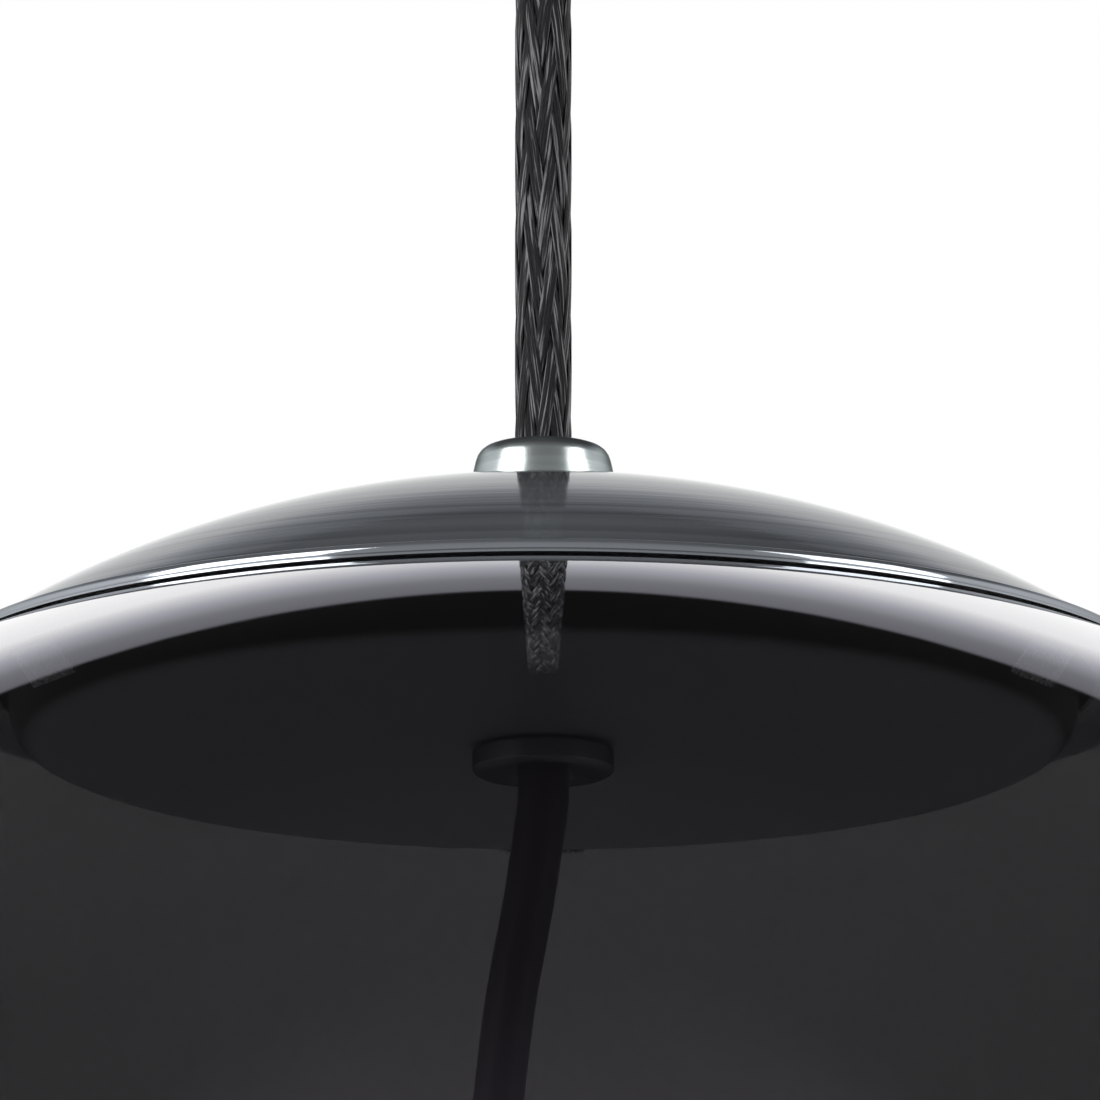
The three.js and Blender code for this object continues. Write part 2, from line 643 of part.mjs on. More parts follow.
function holderGrip() {
  const boreR = innerCordR + GAP;
  const grubZ = -GRIP_HEIGHT / 2;
  const topR = boreR + GRIP_WALL;
  const body = turned([
    [boreR, 0], [topR, 0], [topR + 0.6, -0.8], [GRIP_FOOT_R, -GRIP_HEIGHT], [boreR, -GRIP_HEIGHT],
  ]);
  return body.subtract(radialRod(GRUB_R + GAP, 0, 2 * GRIP_FOOT_R, grubZ, 90));
}

function holderCap() {
  const wall = HOLDER_CAP_WALL;
  const top = -GRIP_HEIGHT - GAP;
  const bottom = top - HOLDER_CAP_HEIGHT;
  const crownR = HOLDER_CAP_HEIGHT - HOLDER_CAP_SKIRT;
  const crownZ = bottom + HOLDER_CAP_SKIRT;
  const sideR = HOLDER_R - crownR;
  return turned([
    [innerCordR + GAP, top],
    ...arc(sideR, crownZ, crownR, 90, 0, 4),
    [HOLDER_R, bottom],
    [HOLDER_R - wall, bottom],
    ...arc(sideR, crownZ, crownR - wall, 0, 90, 4),
    [innerCordR + GAP, top - wall],
  ], SMALL_SIDES);
}

function buildHolder(parent) {
  const pan = groupAt(parent, 0, 0, rimZ - PAN_DEPTH);
  const route = INNER_CORD_ROUTE.map(([x, depth]) => [x, 0, -depth]);
  piece(pan, 'inner_cord', tube(route, innerCordR, CORD_SIDES, 16), sheath);

  const holder = groupAt(pan, 0, 0, -HOLDER_DEPTH);
  const grub = radialRod(GRUB_R, innerCordR + GAP, GRIP_FOOT_R - GAP, -GRIP_HEIGHT / 2, 90);
  piece(holder, 'holder_grip', holderGrip(), blackResin);
  piece(holder, 'holder_grip_screw', grub, nylon);
  piece(holder, 'holder_cap', holderCap(), blackResin);

  const bodyTop = -GRIP_HEIGHT - HOLDER_CAP_HEIGHT - 2 * GAP;
  const bodyBottom = bodyTop - HOLDER_BODY_HEIGHT;
  const innerR = HOLDER_R - HOLDER_WALL;
  piece(holder, 'holder_body', ring(innerR, HOLDER_R, bodyBottom, bodyTop), blackResin);

  const insertTop = bodyTop - 2;
  const insertBottom = insertTop - INSERT_HEIGHT;
  const terminalX = 10;
  const pinR = 1.6;
  const pinDepth = 4;
  const boreLow = insertTop - pinDepth - 1;
  let insert = rod(innerR - GAP, insertBottom, insertTop);
  [-1, 1].forEach((side, i) => {
    const pinBore = rod(pinR + GAP, boreLow, insertTop + 1).translate([side * terminalX, 0, 0]);
    insert = insert.subtract(pinBore);
    const pin = rod(pinR, insertTop - pinDepth, insertTop + 1).translate([side * terminalX, 0, 0]);
    piece(holder, `holder_terminal_screw_${i + 1}`, pin, brass);
  });
  piece(holder, 'holder_insert', insert, porcelain);

  const shellTop = insertBottom - GAP;
  const contactR = 2.5;
  const shell = turned([
    [SHELL_R, shellTop], [SHELL_R, shellTop - SHELL_HEIGHT],
    [SHELL_R - SHELL_WALL, shellTop - SHELL_HEIGHT], [SHELL_R - SHELL_WALL, shellTop - SHELL_WALL],
    [2 * contactR, shellTop - SHELL_WALL], [2 * contactR, shellTop],
  ]);
  piece(holder, 'holder_screw_shell', shell, brass);
  const contactBottom = shellTop - CONTACT_HEIGHT;
  piece(holder, 'holder_centre_contact', rod(contactR, contactBottom, shellTop), brass);
  buildLamp(holder, contactBottom - GAP);
}

// ---- Lamp; tipZ is the top of its centre contact -------------------------------------------

function lampGlassSolid(tipZ) {
  const neckR = LAMP_CAP_R - LAMP_CAP_WALL - GAP;
  const neckTop = tipZ - LAMP_CAP_LENGTH + 4;
  const bulbZ = tipZ - LAMP_LENGTH + LAMP_R;
  const flare = [[neckR, neckTop - 6], [neckR + 2, neckTop - 12], [LAMP_R * 0.7, bulbZ + LAMP_R * 0.9]];
  const outside = [[neckR, neckTop], ...flare, ...arc(0, bulbZ, LAMP_R, 30, -90, 8).slice(0, -1)];
  const wall = LAMP_GLASS_WALL;
  const inside = [
    ...arc(0, bulbZ, LAMP_R - wall, -90, 30, 8).slice(1),
    ...flare.reverse().map(([r, z]) => [r - wall, z]),
    [neckR - wall, neckTop],
  ];
  return turned([[0, bulbZ - LAMP_R + wall], ...inside, ...outside, [0, bulbZ - LAMP_R]]);
}

function buildLamp(holder, tipZ) {
  const contactHeight = 1.4;
  const insulatorTop = tipZ - contactHeight - GAP;
  const insulatorHeight = 4.5;
  const shellTop = insulatorTop - insulatorHeight - GAP;
  const shellBottom = tipZ - LAMP_CAP_LENGTH;
  piece(holder, 'lamp_tip_contact', rod(4, tipZ - contactHeight, tipZ), brass);
  const insulatorLow = insulatorTop - insulatorHeight;
  const insulator = turned([[0, insulatorTop], [4.6, insulatorTop], [9, insulatorLow], [0, insulatorLow]]);
  piece(holder, 'lamp_insulator', insulator, blackResin);
  const shell = turned([
    [8, shellTop], [LAMP_CAP_R - 1.5, shellTop], [LAMP_CAP_R, shellTop - 2], [LAMP_CAP_R, shellBottom],
    [LAMP_CAP_R - LAMP_CAP_WALL, shellBottom], [LAMP_CAP_R - LAMP_CAP_WALL, shellTop - 2.2],
    [LAMP_CAP_R - 2, shellTop - LAMP_CAP_WALL], [8, shellTop - LAMP_CAP_WALL],
  ]);
  piece(holder, 'lamp_screw_cap', shell, zinc);
  piece(holder, 'lamp_glass', lampGlassSolid(tipZ), lampGlass);

  // The stem carries upright filament sticks on a ring round it.
  const stemTop = shellTop - 4;
  const stemBottom = tipZ - LAMP_LENGTH + LAMP_R + 18;
  const stem = turned([
    [0, stemTop], [10, stemTop], [10, stemTop - 3], [3.5, stemTop - 18], [2.4, stemBottom + 4],
    [3.4, stemBottom], [0, stemBottom],
  ]);
  piece(holder, 'lamp_stem', stem, lampGlass);
  const filamentLow = stemBottom - 30;
  const filamentHigh = stemBottom + 6;
  for (let i = 0; i < FILAMENT_COUNT; i += 1) {
    const angle = (2 * Math.PI * i) / FILAMENT_COUNT + Math.PI / 4;
    const stick = tube([
      [7 * Math.cos(angle), 7 * Math.sin(angle), filamentHigh],
      [11 * Math.cos(angle), 11 * Math.sin(angle), filamentLow],
    ], 1, CORE_SIDES, 1);
    piece(holder, `lamp_filament_${i + 1}`, stick, phosphor);
  }
}

// ---- Assembly -------------------------------------------------------------------------

const light = new THREE.Group();
buildRose(light);
buildPendant(light);
buildGlobe(light);
buildHolder(light);

export default light;
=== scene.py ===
# %% [markdown]
# # A smoked mirror globe on a braided cord
# This notebook dresses a pendant ceiling light. The working model is loaded first as a fixed
# frame: it says where every part is and how it moves. Everything made below is placed from it,
# so a piece is never fitted by eye. All lengths are metres, +Z is up, and the origin is where
# the light meets the ceiling.

# %% Load the frame
import math

import bmesh
import bpy
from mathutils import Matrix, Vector


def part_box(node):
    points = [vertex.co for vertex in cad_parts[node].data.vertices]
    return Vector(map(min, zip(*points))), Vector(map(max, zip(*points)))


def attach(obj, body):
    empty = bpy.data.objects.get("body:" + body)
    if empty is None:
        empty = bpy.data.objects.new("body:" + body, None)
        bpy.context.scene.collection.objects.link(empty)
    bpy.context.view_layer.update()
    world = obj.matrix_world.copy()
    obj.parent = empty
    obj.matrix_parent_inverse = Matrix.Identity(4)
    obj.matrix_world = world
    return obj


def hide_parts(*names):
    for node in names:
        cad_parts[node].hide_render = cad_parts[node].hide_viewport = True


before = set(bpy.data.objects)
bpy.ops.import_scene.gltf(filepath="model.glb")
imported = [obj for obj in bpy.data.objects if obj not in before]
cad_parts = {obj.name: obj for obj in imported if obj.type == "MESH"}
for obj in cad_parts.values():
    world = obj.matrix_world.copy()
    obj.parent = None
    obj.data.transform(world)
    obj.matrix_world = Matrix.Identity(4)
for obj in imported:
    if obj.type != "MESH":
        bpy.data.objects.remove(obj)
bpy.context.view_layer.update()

# %% [markdown]
# ## Places taken from the frame
# A light like this is nearly all turned on one upright axis, so a piece is told by its lowest
# and highest points and its widest radius. Reading those from the frame keeps the fine pieces
# in step with the working ones.

# %% Heights and radii
MM = 0.001
CLEAR = 0.3                  # clearance that the working parts keep, in millimetres


def low(node):
    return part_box(node)[0].z


def high(node):
    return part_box(node)[1].z


def radius(node):
    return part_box(node)[1].x


def tall(node):
    """A node's own height, in millimetres."""
    return (high(node) - low(node)) / MM


def heights(node, base=0.0):
    """A node's lowest and highest points above a base, in millimetres."""
    return (low(node) - base) / MM, (high(node) - base) / MM


def spread(start, stop, steps):
    """Evenly spaced values from start to stop."""
    return [start + (stop - start) * i / steps for i in range(steps + 1)]


RIM_Z = low("cap_dome")
CAP_R = radius("cap_dome")
GLOBE_R = radius("globe")
GLOBE_Z = low("globe") + GLOBE_R
PAN_FACE_Z = low("retainer_pan")
PAN_R = radius("retainer_pan")
THREAD_R = radius("nipple_tube") + CLEAR * MM
CORD_R = radius("cord_tail")
SHEATH_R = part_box("inner_cord")[1].y
SWING_Z = high("pendant_cord")
HOLDER_Z = high("holder_grip")
HOLDER_R = radius("holder_body")
print("cap rim", round(RIM_Z, 4), "globe centre", round(GLOBE_Z, 4), "pan", round(PAN_FACE_Z, 4))

# %% [markdown]
# ## Camera
# The light hangs above the eye, so the camera looks up at it by about thirteen degrees. A long
# lens from two metres keeps the cap's edge and the globe's curve nearly free of perspective,
# and frames only the top of the globe, where cord, cap and glass meet.

# %% Camera
LOOK_UP = math.radians(12.8)
VIEW_DISTANCE = 2.0
VIEW_WIDTH = 0.1311          # what the frame is to hold across at the cap
AIM_RIGHT = 0.8 * MM
AIM_UP = 16.6 * MM           # middle of the frame above the cap's rim

forward = Vector((0, math.cos(LOOK_UP), math.sin(LOOK_UP)))
upward = Vector((0, -math.sin(LOOK_UP), math.cos(LOOK_UP)))
aim = Vector((AIM_RIGHT, 0, RIM_Z)) + AIM_UP * upward
camera_data = bpy.data.cameras.new("camera")
camera_data.sensor_width = 36
camera_data.lens = camera_data.sensor_width * VIEW_DISTANCE / VIEW_WIDTH
camera_data.clip_end = 50
camera = bpy.data.objects.new("camera", camera_data)
camera.location = aim - VIEW_DISTANCE * forward
camera.rotation_euler = forward.to_track_quat("-Z", "Y").to_euler()
bpy.context.scene.collection.objects.link(camera)
bpy.context.scene.camera = camera
bpy.context.scene.view_settings.view_transform = "Standard"
print("lens", round(camera_data.lens), "mm")

# %% [markdown]
# ## Writing node graphs as sums
# Node trees, for finishes and for geometry alike, are long when each node is added by hand.
# Here one small class stands for a socket, and Python's operators on it add the Math nodes. One
# method adds any other node: it takes the node's type, its settings, and what its sockets get.

# %% Sockets and graphs


class Socket:
    """One output of a node; arithmetic on it adds Math nodes."""

    def __init__(self, graph, plug):
        self.graph = graph
        self.plug = plug

    def math(self, operation, *values):
        return self.graph.add("ShaderNodeMath", {"operation": operation}, *values)

    def __add__(self, other):
        return self.math("ADD", self, other)

    def __sub__(self, other):
        return self.math("SUBTRACT", self, other)

    def __rsub__(self, other):
        return self.math("SUBTRACT", other, self)

    def __mul__(self, other):
        return self.math("MULTIPLY", self, other)

    def __truediv__(self, other):
        return self.math("DIVIDE", self, other)

    def __rtruediv__(self, other):
        return self.math("DIVIDE", other, self)

    def __pow__(self, other):
        return self.math("POWER", self, other)

    def __mod__(self, other):
        return self.math("FLOORED_MODULO", self, other)

    def __lt__(self, other):
        return self.math("LESS_THAN", self, other)

    def other(self, output):
        """Another output of the same node."""
        return Socket(self.graph, self.plug.node.outputs[output])

    def sine(self):
        return self.math("SINE", self)

    def cosine(self):
        return self.math("COSINE", self)

    def clamped(self, lowest, highest):
        return self.math("MINIMUM", self.math("MAXIMUM", self, lowest), highest)

    def between(self, start, stop):
        """0 below start, 1 above stop, and a smooth step between."""
        settings = {"interpolation_type": "SMOOTHSTEP"}
        return self.graph.add("ShaderNodeMapRange", settings, self, start, stop, 0.0, 1.0)

    __radd__ = __add__
    __rmul__ = __mul__


class Graph:
    """A node tree that is filled by calls."""

    def __init__(self, tree):
        self.tree = tree

    def add(self, kind, settings=None, *values, output=0, **named):
        """A node of that type, with its settings made first and then its sockets filled."""
        node = self.tree.nodes.new(kind)
        for name, value in (settings or {}).items():
            if name == "stops":
                self.set_stops(node.color_ramp, value)
            else:
                setattr(node, name, value)
        filled = list(enumerate(values))
        filled += [(name.replace("_", " "), value) for name, value in named.items()]
        for place, value in filled:
            if isinstance(value, Socket):
                self.tree.links.new(value.plug, node.inputs[place])
            elif value is not None:
                node.inputs[place].default_value = value
        return Socket(self, node.outputs[output]) if node.outputs else node

    @staticmethod
    def set_stops(ramp, stops):
        """Makes a ramp's stops from places and colours; its own first and last give way."""
        ramp.elements.remove(ramp.elements[1])
        ramp.elements[0].position, ramp.elements[0].color = stops[0][0], (*stops[0][1], 1.0)
        for place, shade in stops[1:]:
            ramp.elements.new(place).color = (*shade, 1.0)

    def mixed(self, share, first, second):
        """One colour going over to another."""
        settings = {"data_type": "RGBA"}
        node = self.add("ShaderNodeMix", settings, share, output=2).plug.node
        for place, value in ((6, first), (7, second)):
            if isinstance(value, Socket):
                self.tree.links.new(value.plug, node.inputs[place])
            else:
                node.inputs[place].default_value = (*value, 1.0)
        return Socket(self, node.outputs[2])


class Finish(Graph):
    """A material: its graph, the patterns that its finishes share, and its shader."""

    def __init__(self, name):
        self.material = bpy.data.materials.new(name)
        self.material.use_nodes = True
        print("finish", name)
        super().__init__(self.material.node_tree)
        self.shader = self.tree.nodes["Principled BSDF"]
        self.here = self.add("ShaderNodeTexCoord", None, output=3)

    def noise(self, scale, detail=2.0, vector=None):
        vector = vector or self.here
        return self.add("ShaderNodeTexNoise", None, vector, Scale=scale, Detail=detail)

    def stretched(self, x, y, z):
        """The place on the piece, stretched along its axes."""
        scale = {"operation": "MULTIPLY"}
        return self.add("ShaderNodeVectorMath", scale, self.here, (x, y, z))

    def axis(self, index):
        return self.add("ShaderNodeSeparateXYZ", None, self.here, output=index)

    def from_axis(self):
        """Distance from the upright axis."""
        x, y = self.axis(0), self.axis(1)
        return (x * x + y * y) ** 0.5

    def bumped(self, height, distance, strength=0.5):
        return self.add("ShaderNodeBump", None, Strength=strength, Distance=distance, Height=height)

    def set(self, **values):
        """Numbers and links for the shader's own sockets, with _ for a space."""
        for name, value in values.items():
            plug = self.shader.inputs[name.replace("_", " ")]
            if isinstance(value, Socket):
                self.tree.links.new(value.plug, plug)
            elif isinstance(value, tuple):
                plug.default_value = (*value, 1.0)
            else:
                plug.default_value = value
        return self.material


print("graph helpers ready")

# %% [markdown]
# ## The cord's braid, as a finish
# The cord wears a tight sleeve of black rayon. Rayon is shiny along the thread, so a turned-up
# thread flashes light grey while its neighbour stays nearly black. Here those flashes are painted
# highlights: light grey flecks in the base colour, laid along the threads. The threads
# themselves are modelled below. The finish parts each carrier into its yarns, makes the yarns a
# little uneven and paints the flecks, so it reads two numbers that the sleeve carries: along and
# across the thread.

# %% Braid finish


def braid_finish():
    it = Finish("braid")
    along = it.add("ShaderNodeAttribute", {"attribute_name": "along"}, output=2)
    across = it.add("ShaderNodeAttribute", {"attribute_name": "across"}, output=2)
    carrier = it.add("ShaderNodeAttribute", {"attribute_name": "carrier"}, output=2)
    yarns = 4
    lane = it.add("ShaderNodeCombineXYZ", None, along * 150, across * 2.6, carrier * 3.7)
    # painted highlight: long light grey flecks along the threads stand for light flashing off the
    # shiny yarns
    painted_glint = it.noise(1.0, 4.0, lane).between(0.5, 0.68)
    yarn = (across * (math.pi * yarns)).cosine() * 0.5 + 0.5
    strand = it.add("ShaderNodeCombineXYZ", None, along * 900, across * 22, carrier)
    fibre = it.noise(1.0, 4.0, strand)
    # near black rayon, with the painted highlight flecks in light grey
    shade = it.mixed(painted_glint, (0.003, 0.003, 0.004), (0.16, 0.16, 0.168))
    return it.set(
        Base_Color=shade,
        Roughness=0.36 + fibre * 0.22,
        Specular_IOR_Level=0.1,
        Normal=it.bumped(yarn * 0.7 + fibre * 0.5, 0.12 * MM, 0.9),
    )


braid = braid_finish()

# %% [markdown]
# ## The braided sleeve
# Twenty-four carriers run round the cord, twelve each way, and each goes over two and under two of
# the others. That is a rule, so Geometry Nodes make it: a carrier's angle follows its distance
# along the cord, and a wave lifts and sinks it where it crosses the rest. The wave of the
# carriers that run the other way is turned over, so that where one is up the other is down.

# %% Geometry Nodes helpers


class Maker(Graph):
    """A Geometry Nodes tree with named inputs."""

    KINDS = {
        float: "NodeSocketFloat", int: "NodeSocketInt", "object": "NodeSocketObject",
        "material": "NodeSocketMaterial",
    }

    def __init__(self, name, **inputs):
        tree = bpy.data.node_groups.new(name, "GeometryNodeTree")
        tree.interface.new_socket("Geometry", in_out="INPUT", socket_type="NodeSocketGeometry")
        for label, kind in inputs.items():
            tree.interface.new_socket(label, in_out="INPUT", socket_type=self.KINDS[kind])
        tree.interface.new_socket("Geometry", in_out="OUTPUT", socket_type="NodeSocketGeometry")
        super().__init__(tree)
        self.entry = tree.nodes.new("NodeGroupInput")
        self.start = self.given("Geometry")

    def given(self, label):
        return Socket(self, self.entry.outputs[label])

    def labelled(self, geometry, name, value):
        """The geometry with a number stored on its points."""
        return self.add("GeometryNodeStoreNamedAttribute", None, geometry, None, name, value)

    def joined(self, *parts):
        node = self.tree.nodes.new("GeometryNodeJoinGeometry")
        for part in reversed(parts):
            self.tree.links.new(part.plug, node.inputs[0])
        return Socket(self, node.outputs[0])

    def ends(self, geometry):
        real = self.add("GeometryNodeRealizeInstances", None, geometry)
        dressed = self.add("GeometryNodeSetMaterial", None, real, Material=self.given("Material"))
        last = self.tree.nodes.new("NodeGroupOutput")
        self.tree.links.new(dressed.plug, last.inputs[0])


def shown(name, mesh):
    piece = bpy.data.objects.new(name, mesh)
    bpy.context.scene.collection.objects.link(piece)
    return piece


def grown(name, points, edges, maker, aims=None, **inputs):
    """What a tree makes from a few points and edges, as a plain mesh."""
    seed = bpy.data.meshes.new(name)
    seed.from_pydata(points, edges, [])
    if aims:
        way = seed.attributes.new("aim", "FLOAT_VECTOR", "POINT")
        way.data.foreach_set("vector", [x for aim_way in aims for x in aim_way])
    piece = shown(name, seed)
    modifier = piece.modifiers.new("maker", "NODES")
    modifier.node_group = maker.tree
    for item in maker.tree.interface.items_tree:
        if item.in_out == "INPUT" and item.name in inputs:
            modifier[item.identifier] = inputs[item.name]
    view = bpy.context.evaluated_depsgraph_get()
    result = bpy.data.meshes.new_from_object(piece.evaluated_get(view), depsgraph=view)
    piece.modifiers.remove(modifier)
    piece.data = result
    result.name = name
    print(name, len(result.polygons), "faces")
    return piece


print("Geometry Nodes helpers ready")

# %% [markdown]
# A tree for the sleeve. A carrier remembers how far along it is and which way it leans before
# it is pushed out from the middle line, because the spiral is longer than the line was.

# %% The sleeve's tree


def sleeve_maker():
    it = Maker(
        "braided sleeve", Radius=float, Pitch=float, Carriers=int, Width=float,
        Thickness=float, Step=float, Material="material",
    )
    line = it.add("GeometryNodeMeshToCurve", None, it.start)
    line = it.add("GeometryNodeResampleCurve", {"mode": "LENGTH"}, line, Length=it.given("Step"))
    copies = it.add(
        "GeometryNodeDuplicateElements", {"domain": "SPLINE"}, line, Amount=it.given("Carriers")
    )
    index = copies.other(1)
    half = it.given("Carriers") / 2
    way = (index < half) * 2 - 1
    number = index % half
    along = it.add("GeometryNodeSplineParameter", output=1)
    turn = along / it.given("Pitch")
    angle = way * turn * math.tau + number * math.tau / half
    crossing = way * turn * half * 2 + number * 2 - 0.5
    lifted = (way * (crossing * (math.pi / 2)).cosine() * 1.5).clamped(-1, 1)

    carriers = it.labelled(copies, "along", along)
    carriers = it.labelled(carriers, "carrier", index)
    carriers = it.labelled(carriers, "angle", angle)
    carriers = it.labelled(carriers, "lifted", lifted)
    angle = it.add("GeometryNodeInputNamedAttribute", None, "angle")
    lifted = it.add("GeometryNodeInputNamedAttribute", None, "lifted")
    lift = it.given("Thickness") * 0.55
    out = it.given("Radius") - it.given("Thickness") / 2 - lift + lifted * lift
    aside = it.add("ShaderNodeCombineXYZ", None, angle.cosine() * out, angle.sine() * out, 0.0)
    facing = it.add("ShaderNodeCombineXYZ", None, angle.cosine(), angle.sine(), 0.0)
    carriers = it.add("GeometryNodeSetPosition", None, carriers, Offset=aside)
    carriers = it.add("GeometryNodeSetCurveNormal", {"mode": "FREE"}, carriers, Normal=facing)

    ring = it.add("GeometryNodeCurvePrimitiveCircle", None, Resolution=8, Radius=1.0)
    here = it.add("GeometryNodeInputPosition")
    ring = it.labelled(ring, "across", it.add("ShaderNodeSeparateXYZ", None, here, output=1))
    flat = it.add(
        "ShaderNodeCombineXYZ", None, it.given("Thickness") / 2, it.given("Width") / 2, 1.0
    )
    flat = it.add("GeometryNodeTransform", None, ring, Scale=flat)
    bands = it.add("GeometryNodeCurveToMesh", None, carriers, Profile_Curve=flat, Fill_Caps=True)
    core = it.add(
        "GeometryNodeCurvePrimitiveCircle", None, Resolution=24, Radius=it.given("Radius") * 0.8
    )
    core = it.add("GeometryNodeCurveToMesh", None, line, Profile_Curve=core, Fill_Caps=True)
    it.ends(it.add("GeometryNodeSetShadeSmooth", None, it.joined(bands, core)))
    return it


sleeve = sleeve_maker()
SLEEVE = {
    "Radius": CORD_R, "Pitch": 150 * MM, "Carriers": 24, "Width": 1.6 * MM,
    "Thickness": 0.3 * MM, "Step": 1.3 * MM, "Material": braid,
}
print("sleeve tree has", len(sleeve.tree.nodes), "nodes")

# %% [markdown]
# ## Two lengths of cord
# The braided cord hangs dead straight from the ceiling rose into the threaded tube, pulled taut
# by the globe. It is stripped of its braid inside the globe, where it hangs on from the tube to
# the lampholder with a lazy bow, as a cable does that once lay coiled in a box.

# %% The braided cord
cord_path = [(0.0, 0.0, z) for z in spread(SWING_Z, low("pendant_cord"), 14)]
links = [(i, i + 1) for i in range(len(cord_path) - 1)]
braided_cord = grown("braided_cord", cord_path, links, sleeve, **SLEEVE)
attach(braided_cord, "pendant")
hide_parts("pendant_cord")

# %% The cord's fixed end in the rose
tail_path = [(0, 0, high("cord_tail")), (0, 0, low("cord_tail"))]
braided_tail = grown("braided_tail", tail_path, [(0, 1)], sleeve, **SLEEVE)
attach(braided_tail, "ceiling")
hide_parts("cord_tail")

# %% [markdown]
# The sheath is matt black PVC, drawn through a die. The die leaves faint lines along it, and
# the cable's own twist shows as a slow swelling.

# %% Sheath finish


def sheath_finish():
    it = Finish("sheath")
    drawn = it.noise(1.0, 3.0, it.stretched(900, 900, 30))
    handled = it.noise(120, 3.0)
    return it.set(
        Base_Color=it.mixed(handled, (0.006, 0.006, 0.007), (0.012, 0.012, 0.013)),
        Roughness=0.38 + handled * 0.2,
        Normal=it.bumped(drawn, 0.05 * MM, 0.4),
    )


sheath = sheath_finish()

# %% The inner cord
# Sideways offset and depth below the pan's face, millimetres.
INNER_CORD_ROUTE = [
    (0, 2.65), (0, 6.5), (-0.45, 10), (-1.1, 14.5), (-1.8, 19), (-3.9, 31), (-5.35, 43),
    (-6.4, 53), (-6.9, 63), (-6.4, 73), (-4.6, 83), (-2.2, 92), (-0.5, 100), (0, 105), (0, 111),
]


def eased(points, per_span=6):
    """A smooth line through points, by centripetal Catmull-Rom."""
    points = [Vector(p) for p in points]
    padded = [2 * points[0] - points[1], *points, 2 * points[-1] - points[-2]]
    line = []
    for p0, p1, p2, p3 in zip(padded, padded[1:], padded[2:], padded[3:]):
        t1 = (p1 - p0).length ** 0.5
        t2 = t1 + (p2 - p1).length ** 0.5
        t3 = t2 + (p3 - p2).length ** 0.5
        for t in spread(t1, t2, per_span)[:-1]:
            a1 = p0.lerp(p1, t / t1)
            a2 = p1.lerp(p2, (t - t1) / (t2 - t1))
            a3 = p2.lerp(p3, (t - t2) / (t3 - t2))
            b1 = a1.lerp(a2, t / t2)
            b2 = a2.lerp(a3, (t - t1) / (t3 - t1))
            line.append(b1.lerp(b2, (t - t1) / (t2 - t1)))
    return [*line, points[-1]]


def flex(name, points, thick, finish):
    """A round flexible tube along a smooth line through points."""
    curve = bpy.data.curves.new(name, "CURVE")
    curve.dimensions = "3D"
    curve.bevel_depth = thick / 2
    curve.bevel_resolution = 6
    curve.use_fill_caps = True
    line = eased(points)
    spline = curve.splines.new("POLY")
    spline.points.add(len(line) - 1)
    for point, place in zip(spline.points, line):
        point.co = (*place, 1)
    spline.use_smooth = True
    curve.materials.append(finish)
    return shown(name, curve), line


inner_points = [(x * MM, 0, PAN_FACE_Z - depth * MM) for x, depth in INNER_CORD_ROUTE]
sheathed_cord, inner_line = flex("sheathed_cord", inner_points, 2 * SHEATH_R, sheath)
inner_length = sum((b - a).length for a, b in zip(inner_line, inner_line[1:]))
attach(sheathed_cord, "holder")
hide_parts("inner_cord")
print("inner cord", round(inner_length * 1000, 1), "mm")

# %% [markdown]
# ## Studio
# Polished metal and mirrored glass show little but what stands round them, so the studio is
# built as a set of reflections. A white cyclorama runs all round to some thirty degrees above
# level, fades, and stops at a hard edge a little below forty-three. The ceiling is dark. The side
# where the camera stands is dim as well, which leaves grey hearts in the collar's bright bands.

# %% World
WHITE_LEVEL = 1.2
PLAIN, COOL, VIOLET = (1.0, 1.0, 1.0), (0.97, 0.98, 1.06), (1.05, 0.93, 1.08)


def grey(value, tint=PLAIN):
    return tuple(value * t for t in tint)


def by_elevation(*stops):
    """Stops of a ramp from straight down to straight up, from degrees, level and tint."""
    return [
        (0.5 + 0.5 * math.sin(math.radians(degrees)), grey(level, tint))
        for degrees, level, tint in stops
    ]


def studio_world():
    world = bpy.data.worlds.new("studio")
    world.use_nodes = True
    bpy.context.scene.world = world
    it = Graph(world.node_tree)
    world.node_tree.nodes.clear()
    toward = it.add("ShaderNodeTexCoord", None, output=0)
    x = it.add("ShaderNodeSeparateXYZ", None, toward, output=0)
    y, z = x.other(1), x.other(2)
    rise = z * 0.5 + 0.5
    round_stops = by_elevation(
        (-90, 0.55, PLAIN), (-8, 0.85, PLAIN), (4, 1.0, PLAIN), (31, 1.0, PLAIN), (36, 0.5, COOL),
        (39.5, 0.25, COOL), (42.3, 0.2, COOL), (42.7, 0.006, PLAIN), (68, 0.006, VIOLET),
        (90, 0.012, VIOLET),
    )
    front_stops = by_elevation(
        (-90, 0.5, PLAIN), (0, 0.36, PLAIN), (30, 0.3, PLAIN), (52, 0.2, PLAIN),
        (66, 0.04, VIOLET), (90, 0.012, VIOLET),
    )
    all_round = it.add("ShaderNodeValToRGB", {"stops": round_stops}, rise)
    in_front = it.add("ShaderNodeValToRGB", {"stops": front_stops}, rise)
    level = (x * x + y * y + 1e-6) ** 0.5
    frontness = (0 - y / level).between(0.45, 0.9)
    around = it.mixed(frontness, all_round, in_front)
    glow = it.add("ShaderNodeBackground", None, around, WHITE_LEVEL)
    backdrop = it.add("ShaderNodeBackground", None, (1.0, 1.0, 1.0, 1.0), 1.0)
    seen = it.add("ShaderNodeLightPath")
    either = it.add("ShaderNodeMixShader", None, seen, glow, backdrop)
    it.add("ShaderNodeOutputWorld", None, either)
    print("world", world.name, len(it.tree.nodes), "nodes")


studio_world()

# %% [markdown]
# Two tall softboxes stand left and right of the light, a little in front. The left one is the
# key: it puts the long highlight on the cord and the brightest wedge on the cap's bead.

# %% Softboxes and floor


def softbox(name, place, size, power):
    lamp = bpy.data.lights.new(name, "AREA")
    lamp.shape = "RECTANGLE"
    lamp.size, lamp.size_y = size
    lamp.energy = power
    box = bpy.data.objects.new(name, lamp)
    box.location = place
    box.rotation_euler = (aim - Vector(place)).to_track_quat("-Z", "Y").to_euler()
    box.visible_camera = False
    bpy.context.scene.collection.objects.link(box)
    print(name, power, "W")


